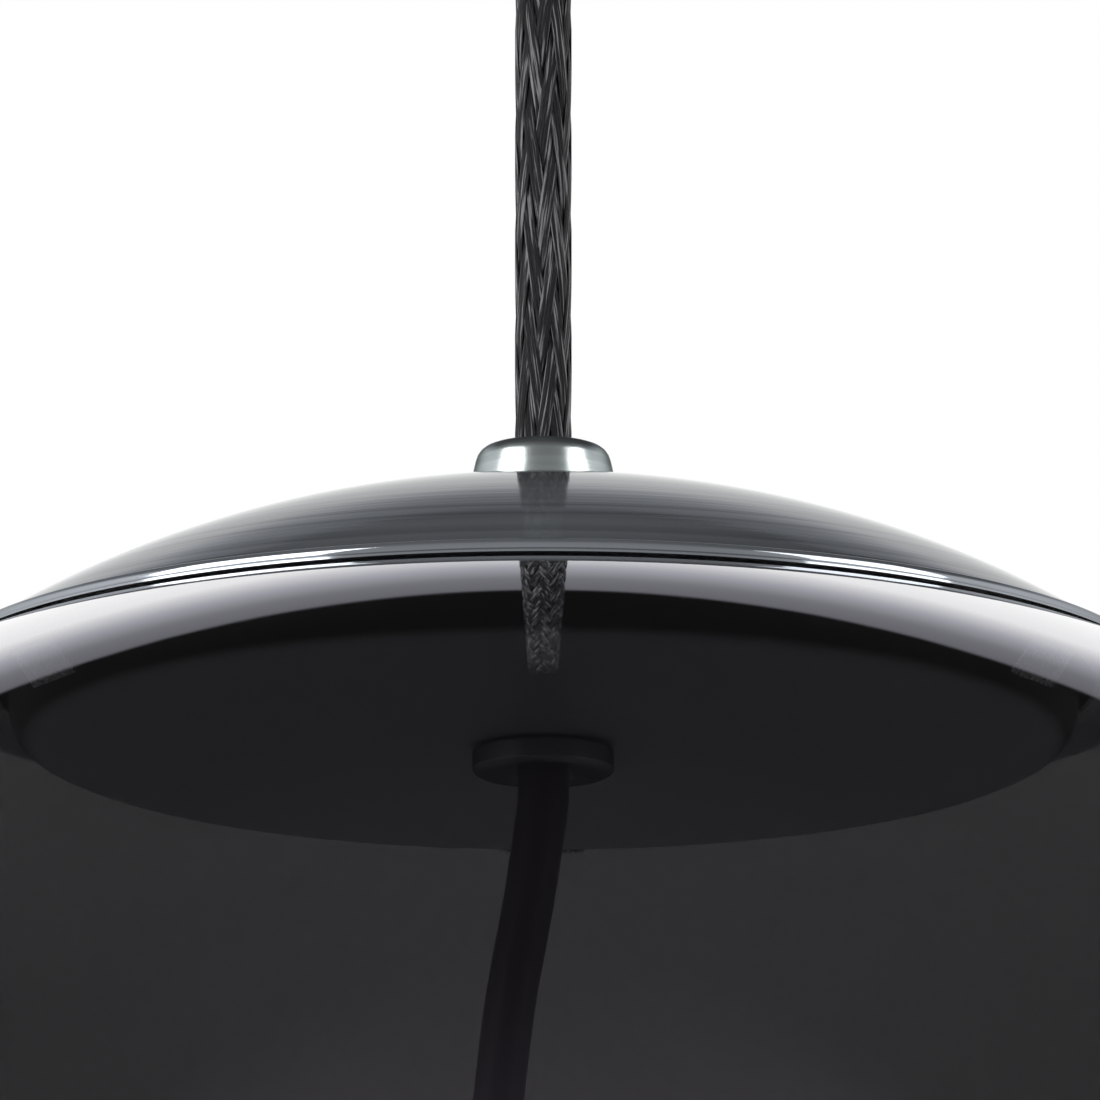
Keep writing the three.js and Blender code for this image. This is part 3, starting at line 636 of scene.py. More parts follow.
softbox("key_softbox", (-1.5, -0.95, RIM_Z + 0.6), (1.25, 1.8), 52)
softbox("fill_softbox", (1.6, -0.8, RIM_Z + 0.6), (1.0, 1.8), 28)

FLOOR_DROP = 2.4
FLOOR_R = 1.6
floor_mesh = bpy.data.meshes.new("floor")
floor_rim = [
    (FLOOR_R * math.cos(a), FLOOR_R * math.sin(a), -FLOOR_DROP)
    for a in spread(0, math.tau, 96)[:-1]
]
floor_mesh.from_pydata(floor_rim, [], [tuple(range(len(floor_rim)))])
floor = shown("floor", floor_mesh)
floor_finish = Finish("floor")
floor_mesh.materials.append(floor_finish.set(Base_Color=(0.8, 0.8, 0.79), Roughness=0.9))

# %% [markdown]
# ## Turning
# Nearly every other piece is turned: a section is drawn once and swung round the upright axis.
# A section here is a list of corners, as radius and height in millimetres, and a third number
# rounds a corner off. A helper writes the round stretches as arcs.

# %% Sections and turned pieces


def arc(centre_r, centre_z, size, start, stop, steps=8):
    """Points on a circle, by angle in degrees from the outward direction."""
    turns = spread(math.radians(start), math.radians(stop), steps)
    return [(centre_r + size * math.cos(t), centre_z + size * math.sin(t)) for t in turns]


def rounded(corners, closed, steps=5):
    """The section with its marked corners rounded."""
    count = len(corners)
    line = []
    for i, corner in enumerate(corners):
        here = Vector(corner[:2])
        inside = closed or 0 < i < count - 1
        if len(corner) < 3 or not inside:
            line.append(here)
            continue
        before = Vector(corners[i - 1][:2]) - here
        after = Vector(corners[(i + 1) % count][:2]) - here
        bend = math.pi - before.angle(after)
        reach = min(corner[2] * math.tan(bend / 2), 0.48 * before.length, 0.48 * after.length)
        a = here + before.normalized() * reach
        b = here + after.normalized() * reach
        for t in spread(0, 1, steps):
            line.append((1 - t) ** 2 * a + 2 * t * (1 - t) * here + t ** 2 * b)
    return [(p.x, p.y) for p in line]


def runs_upward(line):
    """Whether a section is drawn with its outer side going up, from its signed area."""
    ring = zip(line, line[1:] + line[:1])
    return sum(a[0] * b[1] - b[0] * a[1] for a, b in ring) > 0


def smoothed(mesh, sharp=32):
    mesh.shade_smooth()
    mesh.set_sharp_from_angle(angle=math.radians(sharp))
    return mesh


def turned(name, base, section, sides=96, thread=None, sharp=32):
    """A section turned round the upright axis. base is the height, in metres, of its zero.
    thread is (lowest, highest, pitch, depth) in millimetres, cut into what lies between."""
    closed = section[0][0] > 1e-6
    line = rounded(section, closed)
    if not runs_upward(line):
        line.reverse()
    points, rows = [], []
    for r, z in line:
        if r < 1e-6:
            rows.append([len(points)])
            points.append((0.0, 0.0, base + z * MM))
            continue
        rows.append(list(range(len(points), len(points) + sides)))
        for k in range(sides):
            turn = math.tau * k / sides
            out = r
            if thread and thread[0] < z < thread[1]:
                fade = min(1.0, (z - thread[0]) / thread[2], (thread[1] - z) / thread[2])
                out += thread[3] * fade * math.cos(math.tau * z / thread[2] - turn) / 2
            points.append((out * MM * math.cos(turn), out * MM * math.sin(turn), base + z * MM))
    faces = []
    for lower, upper in zip(rows, rows[1:] + (rows[:1] if closed else [])):
        for k in range(sides):
            n = (k + 1) % sides
            corners = [lower[k % len(lower)], lower[n % len(lower)], upper[n % len(upper)],
                       upper[k % len(upper)]]
            face = tuple(dict.fromkeys(corners))
            if len(face) > 2:
                faces.append(face)
    mesh = bpy.data.meshes.new(name)
    mesh.from_pydata(points, [], faces)
    print(name, len(faces), "faces")
    return shown(name, smoothed(mesh, sharp))


def down(r, start, stop, step=0.4):
    """Close points down a straight wall, for a thread to be cut into."""
    return [(r, z) for z in spread(start, stop, max(1, round(abs(stop - start) / step)))]


at_ceiling = [braided_tail]


def fitted(piece, body, slot, finish, *nodes):
    """Gives a finished piece its material, its body, and the working nodes it stands for."""
    if body == "ceiling":
        at_ceiling.append(piece)
    piece.data.materials.clear()
    piece.data.materials.append(finish)
    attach(piece, body)
    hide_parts(*nodes)
    return piece


print("turning helpers ready")

# %% [markdown]
# ## Gunmetal plating
# Cap, collars and ceiling rose are spun or turned brass with a dark nickel plating, polished.
# The plating mirrors, but the spinner's tool leaves fine rings about the axis, and at a glancing
# look they smear a reflection into streaks. The rings are noise read along the radius, which
# works because every one of these pieces is centred on the axis.

# %% Gunmetal finish


def gunmetal_finish(name, shade, roughness, edge, metallic):
    it = Finish(name)
    r = it.from_axis()
    height = it.axis(2)
    ring = it.add("ShaderNodeCombineXYZ", None, r * 2600, height * 2600, 0.0)
    fine = it.noise(1.0, 3.0, ring)
    broad = it.noise(1.0, 2.0, it.add("ShaderNodeCombineXYZ", None, r * 320, height * 320, 0.0))
    haze = it.noise(26, 4.0)
    cloud = (broad * 0.8 + haze * 0.3).between(0.3, 0.8)
    tone = it.mixed(cloud, grey(0.8, shade), grey(1.45, shade))
    return it.set(
        Base_Color=tone,
        Metallic=metallic,
        Roughness=fine * 0.05 + haze.between(0.45, 0.8) * 0.05 + roughness,
        Specular_Tint=grey(edge),
        Normal=it.bumped(fine * 0.5 + broad * 1.6, 0.03 * MM, 0.7),
    )


gunmetal = gunmetal_finish("gunmetal", (0.215, 0.23, 0.25), 0.04, 0.42, 0.78)
collar_metal = gunmetal_finish("collar_metal", (0.32, 0.35, 0.352), 0.2, 0.12, 0.95)

# %% [markdown]
# ## Cap
# The cap is a shallow dome with a bead rolled round its edge, then a fine groove and a flat lip
# that meets the glass. Dome and bead are one spun sheet. The dome is part of a sphere, so its
# radius follows from the rim's radius and the height of the crown.

# %% Cap
CAP_SHEET = 0.8
SEAT_WIDTH = 3               # how far in from the rim the cap rests on the glass
BEAD_R = 0.95
rim_r = CAP_R / MM
thread_r = THREAD_R / MM
crown_edge = tall("cap_dome")
dome_z = (thread_r ** 2 + crown_edge ** 2 - rim_r ** 2) / (2 * crown_edge)
dome_r = math.hypot(rim_r, dome_z)


def dome_height(r, inward=0.0):
    """Height above the cap's rim of its outside, or of a sheet inside it, in millimetres."""
    return dome_z + math.sqrt((dome_r - inward) ** 2 - r ** 2)


globe_r = GLOBE_R / MM
globe_z = (GLOBE_Z - RIM_Z) / MM


def globe_height(r, inward=0.0):
    return globe_z + math.sqrt((globe_r - inward) ** 2 - r ** 2)


bead_at = (rim_r - 1.95, BEAD_R)
dome_line = [(r, dome_height(r)) for r in spread(thread_r, rim_r - 2.95, 60)]
seat_inner = rim_r - SEAT_WIDTH
cap = turned("cap_dome_spun", RIM_Z, [
    *dome_line,
    *arc(*bead_at, BEAD_R, 142, -32, 18),
    (rim_r - 0.85, 0.34), (rim_r - 0.25, 0.4), (rim_r, 0.26), (rim_r, 0.0),
    *[(r, globe_height(r) + CLEAR) for r in (seat_inner + 1, seat_inner)],
    *[(r, dome_height(r, CAP_SHEET)) for r in spread(seat_inner - 0.6, thread_r, 40)],
], sides=256, sharp=40)
fitted(cap, "pendant", "gunmetal", gunmetal, "cap_dome")
print("dome radius", round(dome_r, 1), "mm")

# %% [markdown]
# ## Collars
# A small turned nut clamps the cap on its threaded tube, and a lower one covers the tube's end
# under the pan. Their sides lean in towards a rounded shoulder.

# %% Collars
CORD_HOLE = CORD_R / MM + CLEAR
COLLAR_LEAN, COLLAR_ROUND = 1.3, 2.4
collar_foot = radius("top_collar") / MM
collar_height = tall("top_collar")
top_collar = turned("top_collar_turned", low("top_collar"), [
    (thread_r, 0), (collar_foot, 0, 0.25),
    (collar_foot - COLLAR_LEAN, collar_height, COLLAR_ROUND),
    (CORD_HOLE, collar_height, 0.3), (CORD_HOLE, 2.2), (thread_r, 2.2),
], sides=128)
fitted(top_collar, "pendant", "gunmetal", collar_metal, "top_collar")

lower_foot = radius("lower_collar") / MM
lower_drop = tall("lower_collar")
lower_collar = turned("lower_collar_turned", high("lower_collar"), [
    (thread_r, 0), (lower_foot, 0, 0.3), (lower_foot, -lower_drop + 0.4, 0.6),
    (lower_foot - 0.9, -lower_drop, 0.4), (CORD_HOLE + 0.4, -lower_drop, 0.3),
    (CORD_HOLE, -1.5), (thread_r, -1.5),
], sides=128)
fitted(lower_collar, "pendant", "gunmetal", collar_metal, "lower_collar")

# %% [markdown]
# ## Retaining pan
# The pan closes the cap from below, inside the globe, and carries the springs. It is pressed
# steel with a satin enamel that settles in a faint orange peel. The upturned wall and its
# rounded corner are painted near black: painted shade, for the shadow under the cap.

# %% Enamel and pan


def enamel_finish():
    it = Finish("pan_enamel")
    peel = it.noise(900, 2.0)
    cloud = it.noise(30, 4.0)
    face = it.mixed(cloud, (0.44, 0.43, 0.445), (0.52, 0.51, 0.525))
    # painted shade: from just above the face, up the corner and wall, the colour goes to near black
    # for the shadow under the cap
    painted_wall_shade = (it.axis(2) - PAN_FACE_Z).between(0.1 * MM, 1.3 * MM)
    return it.set(
        Base_Color=it.mixed(painted_wall_shade, face, (0.03, 0.03, 0.032)),
        Roughness=cloud * 0.12 + 0.4,
        Metallic=0.2,
        Normal=it.bumped(peel, 0.03 * MM, 0.35),
    )


PAN_SHEET, PAN_CORNER = 1.0, 5.3
pan_r = PAN_R / MM
pan_face, pan_top = heights("retainer_pan", RIM_Z)
pan = turned("retainer_pan_pressed", RIM_Z, [
    (thread_r, pan_face), (pan_r, pan_face, PAN_CORNER), (pan_r, pan_top, 0.3),
    (pan_r - PAN_SHEET, pan_top, 0.3),
    (pan_r - PAN_SHEET, pan_face + PAN_SHEET, PAN_CORNER - PAN_SHEET),
    (thread_r, pan_face + PAN_SHEET),
], sides=192)
enamel = enamel_finish()
fitted(pan, "pendant", "pan_black", enamel, "retainer_pan")

# %% [markdown]
# ## Globe
# The globe is blown glass, smoked, with a thin mirror of metal on it that lets about a seventh of
# the light through. It is one body with two walls. The outer wall carries the mirror; the inner
# wall is nearly clear, or every sight line would pay for the mirror twice.

# %% Glass finishes


def mirror_finish():
    it = Finish("smoked_mirror")
    flow = it.noise(5, 2.0)
    dust = it.noise(700, 3.0).between(0.62, 0.8)
    return it.set(
        Base_Color=it.mixed(flow, (0.34, 0.335, 0.375), (0.385, 0.375, 0.42)),
        Metallic=1.0,
        Roughness=dust * 0.03 + 0.03,
        Alpha=0.86,
        Coat_Weight=0.9,
        Coat_Roughness=0.03,
        Normal=it.bumped(flow, 0.5 * MM, 0.08),
    )


def inner_glass_finish():
    it = Finish("inner_glass")
    flow = it.noise(9, 2.0)
    return it.set(
        Base_Color=it.mixed(flow, (0.12, 0.115, 0.13), (0.17, 0.165, 0.18)),
        Roughness=0.06 + flow * 0.03,
        Alpha=0.05,
    )


# %% Globe
GLASS = 2.5
GLASS_LAP = 8                # how far the glass runs in under the cap
opening_r = rim_r - GLASS_LAP
inner_r = globe_r - GLASS
outer_edge = math.degrees(math.acos(opening_r / globe_r))
inner_edge = math.degrees(math.acos(opening_r / inner_r))
globe = turned("globe_blown", RIM_Z, [
    (0, globe_z - inner_r),
    *arc(0, globe_z, inner_r, -90, inner_edge, 64)[1:],
    *[(opening_r - 0.05 + 0.25 * t * (t - 1), globe_height(opening_r, GLASS) + GLASS * t)
      for t in (0.25, 0.5, 0.75)],
    *arc(0, globe_z, globe_r, outer_edge, -90, 96)[:-1],
    (0, globe_z - globe_r),
], sides=192)
mirror = mirror_finish()
inner_glass = inner_glass_finish()
fitted(globe, "globe", "smoked_mirror", mirror, "globe")
globe.data.materials.append(inner_glass)
middle = Vector((0, 0, GLOBE_Z))
for face in globe.data.polygons:
    face.material_index = int((face.center - middle).length < GLOBE_R - GLASS * MM / 2)

# %% [markdown]
# A soft ring of silicone lies between cap and glass. It is moulded, so its skin is matt, and it
# is stretched over the cut edge of the globe with a short leg down the inside.

# %% Gasket


def grained_finish(name, first, second, scale, wander, depth, strength):
    """A matt finish with one fine grain in its colour, its gloss and its relief."""
    it = Finish(name)
    grain = it.noise(scale, 3.0)
    return it.set(
        Base_Color=it.mixed(grain, first, second),
        Roughness=0.55 + grain * wander,
        Normal=it.bumped(grain, depth * MM, strength),
    )


silicone = grained_finish(
    "silicone", (0.42, 0.42, 0.41), (0.5, 0.5, 0.49), 500, 0.2, 0.02, 0.5
)
leg_r = opening_r - 0.9
gasket_outer = seat_inner - 1.2
leg_outer = opening_r - CLEAR
under = [(r, globe_height(r) + CLEAR) for r in spread(gasket_outer, leg_outer, 4)]
over = [(r, dome_height(r, CAP_SHEET) - CLEAR) for r in spread(leg_r, gasket_outer, 6)]
over = [(r, max(z, globe_height(r) + 0.6)) for r, z in over]
leg_low = globe_height(opening_r, GLASS) + CLEAR
gasket = turned("edge_gasket_moulded", RIM_Z, [
    *under, (leg_outer, leg_low), (leg_r, leg_low, 0.15), *over,
], sides=192)
fitted(gasket, "globe", "silicone", silicone, "edge_gasket")

# %% [markdown]
# ## Zinc, brass and spring steel
# The fixings are barrel plated zinc: a pale grey with a cloudy bloom and tumbling marks. The
# brass parts are drawn and slightly tarnished. The springs are rolled strip, and the rolling
# leaves long fine scratches along them.

# %% Metal finishes


def tumbled_finish(name, pale, dark, roughness):
    it = Finish(name)
    bloom = it.noise(60, 4.0)
    knocks = it.noise(520, 3.0).between(0.5, 0.72)
    return it.set(
        Base_Color=it.mixed(bloom.between(0.35, 0.7), dark, pale),
        Metallic=1.0,
        Roughness=roughness + bloom * 0.16 + knocks * 0.08,
        Normal=it.bumped(knocks, 0.02 * MM, 0.6),
    )


def spring_finish():
    it = Finish("spring_steel")
    rolled = it.noise(1.0, 3.0, it.stretched(1400, 1400, 60))
    cloud = it.noise(90, 2.0)
    return it.set(
        Base_Color=it.mixed(cloud, (0.5, 0.51, 0.53), (0.64, 0.65, 0.67)),
        Metallic=1.0,
        Roughness=0.16 + rolled * 0.2,
        Normal=it.bumped(rolled, 0.01 * MM, 0.5),
    )


zinc = tumbled_finish("zinc", (0.6, 0.62, 0.64), (0.42, 0.44, 0.47), 0.24)
brass = tumbled_finish("brass", (0.78, 0.6, 0.3), (0.5, 0.34, 0.14), 0.2)
spring_steel = spring_finish()

# %% [markdown]
# ## Plastics, resin and porcelain
# Nylon is slightly waxy and clouded. The holder is black phenolic resin, which is hard and
# glossy with a fine mottle from the filler. The insert is glazed white porcelain.

# %% Moulded finishes


def moulded_finish(name, first, second, roughness, coat, scale, depth):
    it = Finish(name)
    mottle = it.noise(scale, 4.0)
    skin = it.noise(scale * 9, 2.0)
    return it.set(
        Base_Color=it.mixed(mottle.between(0.35, 0.65), first, second),
        Roughness=roughness + skin * 0.12,
        Coat_Weight=coat,
        Coat_Roughness=0.08,
        Normal=it.bumped(skin + mottle * 2, depth * MM, 0.4),
    )


nylon = moulded_finish("nylon", (0.72, 0.71, 0.66), (0.8, 0.79, 0.75), 0.4, 0.0, 70, 0.02)
black_resin = moulded_finish(
    "black_resin", (0.008, 0.008, 0.009), (0.02, 0.019, 0.019), 0.2, 0.2, 400, 0.008
)
porcelain = moulded_finish("porcelain", (0.8, 0.8, 0.78), (0.88, 0.88, 0.87), 0.16, 0.8, 45, 0.03)

# %% [markdown]
# ## Pressed and moulded shapes from the working model
# Some pieces already have their true outline in the working model: the plate with its tabs and
# holes, the hexagon nuts, the terminal block and the springs. A real edge is never knife sharp,
# so these are copied, cleaned of needless cuts, and given a small rounded edge.

# %% Rounded copies


def refined(node, name, edge, segments=2):
    """A copy of a working node with its flat faces made whole and its edges rounded."""
    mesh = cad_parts[node].data.copy()
    mesh.name = name
    shape = bmesh.new()
    shape.from_mesh(mesh)
    bmesh.ops.remove_doubles(shape, verts=shape.verts, dist=1e-6)
    bmesh.ops.dissolve_limit(
        shape, angle_limit=math.radians(1), verts=shape.verts, edges=shape.edges
    )
    sharp = [e for e in shape.edges if len(e.link_faces) == 2 and e.calc_face_angle(0) > 0.6]
    bmesh.ops.bevel(
        shape, geom=sharp, offset=edge * MM, offset_type="OFFSET", segments=segments,
        profile=0.5, affect="EDGES", clamp_overlap=True,
    )
    bmesh.ops.triangulate(shape, faces=[f for f in shape.faces if len(f.verts) > 4])
    bmesh.ops.recalc_face_normals(shape, faces=shape.faces)
    shape.to_mesh(mesh)
    shape.free()
    return shown(name, smoothed(mesh, 40))


for node, body, slot, finish, edge in (
    ("ceiling_plate", "ceiling", "zinc", zinc, 0.3),
    ("rose_bush_nut", "ceiling", "zinc", zinc, 0.25),
    ("upper_nut", "pendant", "zinc", zinc, 0.25),
    ("lower_nut", "pendant", "zinc", zinc, 0.25),
    ("terminal_block", "ceiling", "nylon", nylon, 0.25),
    ("cord_stop", "ceiling", "nylon", nylon, 0.3),
    ("holder_insert", "holder", "porcelain", porcelain, 0.3),
    ("spring_clip_1", "pendant", "spring_steel", spring_steel, 0.08),
    ("spring_clip_2", "pendant", "spring_steel", spring_steel, 0.08),
    ("spring_clip_3", "pendant", "spring_steel", spring_steel, 0.08),
):
    piece = fitted(refined(node, node + "_finished", edge), body, slot, finish, node)
    print(piece.name, len(piece.data.polygons), "faces")

# %% [markdown]
# ## Ceiling rose
# The rose is a spun cup in the same gunmetal, with a soft shoulder. The cord leaves it through
# a threaded bush whose foot looks like the cap's collar turned over.

# %% Rose cover and bush
rose_r = radius("rose_cover") / MM
rose_low, rose_high = heights("rose_cover")
SPUN, ROSE_CORNER = 1.2, 8
rose = turned("rose_cover_spun", 0.0, [
    (thread_r, rose_low, 0.2), (rose_r, rose_low, ROSE_CORNER), (rose_r, rose_high, 0.4),
    (rose_r - SPUN, rose_high, 0.4), (rose_r - SPUN, rose_low + SPUN, ROSE_CORNER - SPUN),
    (thread_r, rose_low + SPUN, 0.2),
], sides=192)
fitted(rose, "ceiling", "gunmetal", gunmetal, "rose_cover")

bush_low, bush_high = heights("rose_bush")
bush_foot = rose_low - CLEAR
bore_r = thread_r - 1.3
bush = turned("rose_bush_turned", 0.0, [
    (bore_r, bush_high, 0.2), *down(thread_r - CLEAR, bush_high - 0.2, rose_low - 0.2, 0.2),
    (thread_r - CLEAR, bush_foot), (collar_foot, bush_foot, 0.25),
    (collar_foot - COLLAR_LEAN, bush_low, COLLAR_ROUND), (CORD_HOLE + 1.6, bush_low, 0.5),
    (bore_r, bush_low + 5.3),
], sides=96, thread=(rose_low + SPUN, bush_high, 1.0, 0.3))
fitted(bush, "ceiling", "gunmetal", collar_metal, "rose_bush")

# %% [markdown]
# ## Threaded tube and washers
# A short steel tube runs from the top collar through the cap to the lower collar. Its thread
# shows wherever a nut leaves it bare. The washers are stamped, with one edge rolled by the die.

# %% Tube and washers
tube_low, tube_high = heights("nipple_tube")
tube = turned("nipple_tube_threaded", 0.0, [
    (bore_r, tube_low, 0.2), *down(thread_r - 0.35, tube_low, tube_high, 0.25),
    (bore_r, tube_high, 0.2),
], sides=96, thread=(tube_low, tube_high, 1.0, 0.3))
fitted(tube, "pendant", "zinc", zinc, "nipple_tube")

for node in ("upper_washer", "lower_washer"):
    outer = radius(node) / MM
    thick = tall(node)
    washer = turned(node + "_stamped", low(node), [
        (thread_r, 0, 0.1), (outer, 0, 0.15), (outer, thick, 0.45), (thread_r, thick, 0.3),
    ], sides=96)
    fitted(washer, "pendant", "zinc", zinc, node)

# %% [markdown]
# ## Screws and rivets
# Each kind of fixing is made once and then set out wherever the light needs it. A tree takes
# points that carry a direction and puts the fixing on each of them, pointing that way.

# %% The setting-out tree


def setting_out():
    it = Maker("set out", Template="object", Material="material")
    way = it.add("GeometryNodeInputNamedAttribute", {"data_type": "FLOAT_VECTOR"}, "aim")
    turn = it.add("FunctionNodeAlignRotationToVector", {"axis": "Z"}, Vector=way)
    template = it.add("GeometryNodeObjectInfo", None, it.given("Template"), output=4)
    it.ends(it.add(
        "GeometryNodeInstanceOnPoints", None, it.start, Instance=template, Rotation=turn
    ))
    return it


set_out = setting_out()
print("setting-out tree has", len(set_out.tree.nodes), "nodes")


def fixing(name, section, slot=None, thread=None):
    """One fixing along +Z with its head at the top, and a driver slot cut across the head."""
    head = turned(name + "_one", 0.0, section, sides=48, thread=thread)
    if slot:
        width, depth, top = slot
        cutter = bpy.data.meshes.new("cutter")
        shape = bmesh.new()
        bmesh.ops.create_cube(shape, size=1.0)
        bmesh.ops.scale(shape, vec=Vector((40, width, depth)) * MM, verts=shape.verts)
        bmesh.ops.translate(shape, vec=Vector((0, 0, top)) * MM, verts=shape.verts)
        shape.to_mesh(cutter)
        shape.free()
        blade = shown("blade", cutter)
        cut = head.modifiers.new("slot", "BOOLEAN")
        cut.object, cut.operation, cut.solver = blade, "DIFFERENCE", "EXACT"
        view = bpy.context.evaluated_depsgraph_get()
        result = bpy.data.meshes.new_from_object(head.evaluated_get(view), depsgraph=view)
        head.modifiers.remove(cut)
        head.data = smoothed(result)
        bpy.data.objects.remove(blade)
    return head


def placed(name, template, places, body, slot, finish, *nodes):
    """Copies of one fixing, as one piece. A place is a point in metres and a direction."""
    points = [point for point, _ in places]
    piece = grown(
        name, points, [], set_out, aims=[tuple(way) for _, way in places],
        Template=template, Material=finish,
    )
    bpy.data.objects.remove(template)
    smoothed(piece.data)
    return fitted(piece, body, slot, finish, *nodes)


# %% Screws in the rose
side_screw = fixing("side_screw", [
    (0, -15.5), (1.0, -15.5), *down(1.3, -14.6, -4, 0.25), (1.5, -0.6), (1.5, 0), (3, 0, 0.2),
    (3, 0.7, 0.4), (1.8, 1.45, 0.6), (0, 1.6),
], slot=(0.8, 1.4, 1.6), thread=(-14, -3, 0.8, 0.35))
side_z = (low("rose_side_screw_1") + high("rose_side_screw_1")) / 2
head_at = (rose_r + CLEAR) * MM
placed("side_screws", side_screw,
       [((side * head_at, 0, side_z), (side, 0, 0)) for side in (1, -1)],
       "ceiling", "zinc", zinc, "rose_side_screw_1", "rose_side_screw_2")


def end_of(node, top=False):
    """The middle of a node's underside, or of its top."""
    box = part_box(node)
    middle = (box[0] + box[1]) / 2
    return Vector((middle.x, middle.y, box[1].z if top else box[0].z))


earth_screw = fixing("earth_screw", [
    (0, -2.2), *down(1.3, -2.2, -0.4, 0.2), (1.3, 0), (3.5, 0, 0.2), (3.5, 0.8, 0.4),
    (2.2, 1.8, 0.7), (0, 2.0),
], slot=(0.9, 1.6, 2.0), thread=(-2.2, -0.2, 0.6, 0.25))
placed("earth_screw", earth_screw,
       [(end_of("plate_earth_screw") + Vector((0, 0, 2 * MM)), (0, 0, -1))],
       "ceiling", "brass", brass, "plate_earth_screw")

terminal_length = tall("terminal_screw_1")
terminal_screw = fixing("terminal_screw", [
    (0, 0), (0.8, 0), *down(1.15, 0.4, terminal_length - 1.2, 0.2),
    (1.3, terminal_length - 1, 0.1), (1.3, terminal_length, 0.2), (0, terminal_length),
], slot=(0.5, 1.2, terminal_length), thread=(0.4, terminal_length - 1, 0.6, 0.25))
terminal_nodes = [f"terminal_screw_{i}" for i in (1, 2, 3)]
placed("terminal_screws", terminal_screw,
       [(end_of(node, top=True), (0, 0, -1)) for node in terminal_nodes],
       "ceiling", "brass", brass, *terminal_nodes)

# %% Rivets that hold the springs
rivet_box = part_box("clip_rivet_1")
rivet_z = (rivet_box[0].z + rivet_box[1].z) / 2
rivet_reach = max(abs(rivet_box[0].y), abs(rivet_box[1].y))
rivet_back = min(abs(rivet_box[0].y), abs(rivet_box[1].y))
rivet_length = (rivet_reach - rivet_back) / MM
clip_rivet = fixing("clip_rivet", [
    (0, 0), (0.9, 0.05), (1.8, 0.45, 0.3), (1.8, 0.8, 0.1), (1, 0.8),
    (1, rivet_length - 0.4), (1.8, rivet_length - 0.4, 0.1), (1.7, rivet_length - 0.1, 0.1),
    (0, rivet_length),
])
turns = [math.radians(a) for a in (90, 210, 330)]
placed("clip_rivets", clip_rivet,
       [((rivet_back * math.cos(t), rivet_back * math.sin(t), rivet_z),
         (math.cos(t), math.sin(t), 0)) for t in turns],
       "pendant", "zinc", zinc, "clip_rivet_1", "clip_rivet_2", "clip_rivet_3")


# %% Grub screws
def grub(name, node, body, slot, finish):
    """A headless screw along its working node's own direction."""
    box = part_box(node)
    size = (box[1] - box[0]) / MM
    long = max(range(3), key=lambda i: size[i])
    length, thick = size[long], min(size) / 2
    way = Vector([float(i == long) for i in range(3)])
    middle = (box[0] + box[1]) / 2
    if middle[long] < 0 and long < 2:
        way = -way
    template = fixing(name, [
        (0, 0), (thick * 0.6, 0), *down(thick - 0.12, 0.35, length - 0.2, 0.15),
        (thick - 0.1, length, 0.1), (0, length),
    ], slot=(0.4, 1.0, length), thread=(0.2, length - 0.1, 0.5, 0.2))
    start = middle - way * (length * MM / 2)
    return placed(name, template, [(start, way)], body, slot, finish, node)


grub("cord_stop_grub", "cord_stop_screw", "ceiling", "zinc", zinc)
grub("collar_grub", "collar_grub_screw", "pendant", "zinc", zinc)
grub("holder_grip_grub", "holder_grip_screw", "holder", "nylon", nylon)

# %% [markdown]
# ## Cores
# Three cores leave the cord's stripped end for the terminals. Each is a flexible wire in its
# own colour. The earth core is green with a yellow stripe that winds slowly round it.

# %% Core finishes and cores


def core_finish(name, colour, stripe=None):
    it = Finish(name)
    drawn = it.noise(900, 3.0)
    tone = it.mixed(drawn, colour, grey(1.25, colour))
    if stripe:
        side = (it.axis(0) * 1.2 + it.axis(1) * 2.2 + it.axis(2)) * 900
        tone = it.mixed(side.sine().between(-0.1, 0.1), tone, stripe)
    return it.set(Base_Color=tone, Roughness=0.32 + drawn * 0.15,
                  Normal=it.bumped(drawn, 0.02 * MM, 0.4))


CORES = {
    "live": ("core_brown", (0.12, 0.045, 0.02), None),
    "neutral": ("core_blue", (0.015, 0.09, 0.3), None),
    "earth": ("core_green", (0.03, 0.2, 0.05), (0.75, 0.6, 0.04)),
}
terminal_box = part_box("terminal_block")
mouth_x = terminal_box[1].x / MM
terminal_z = (terminal_box[0].z + terminal_box[1].z) / 2 / MM
core_start = high("cord_tail") / MM + 0.3
CORE_R = 0.9 * MM
CORE_PITCH = 8.0
for i, core in enumerate(CORES):
    slot, colour, stripe = CORES[core]
    y = (i - 1) * CORE_PITCH
    start = (i - 1) * 2.2
    route = [
        (0, start, core_start), (-1, start, core_start + 2),
        (-5, (start + y) / 2, terminal_z - 1.5), (-11, y, terminal_z),
        (mouth_x, y, terminal_z), (mouth_x - 6, y, terminal_z),
    ]
    finish = core_finish(slot, colour, stripe)
    wire, _ = flex("wire_" + core, [Vector(p) * MM for p in route], 2 * CORE_R, finish)
    fitted(wire, "ceiling", slot, finish, "core_" + core)

# %% [markdown]
# ## Lampholder
# The holder is a cord grip, a domed cap and a ribbed barrel, all black resin. Inside are the
# porcelain insert with its two terminals, the brass screw shell and the sprung centre contact.

# %% Holder, outside
grip_r, grip_hole = radius("holder_grip") / MM, SHEATH_R / MM + CLEAR
grip_height = tall("holder_grip")
grip = turned("holder_grip_moulded", HOLDER_Z, [
    (grip_hole, 0, 0.2), (grip_hole + 2.25, 0, 0.5), (grip_hole + 2.85, -0.8, 0.6),
    (grip_r - 0.9, -grip_height + 2, 0.8), (grip_r, -grip_height + 1.6, 0.3),
    (grip_r, -grip_height, 0.2), (grip_hole, -grip_height, 0.2),
], sides=96)
fitted(grip, "holder", "black_resin", black_resin, "holder_grip")

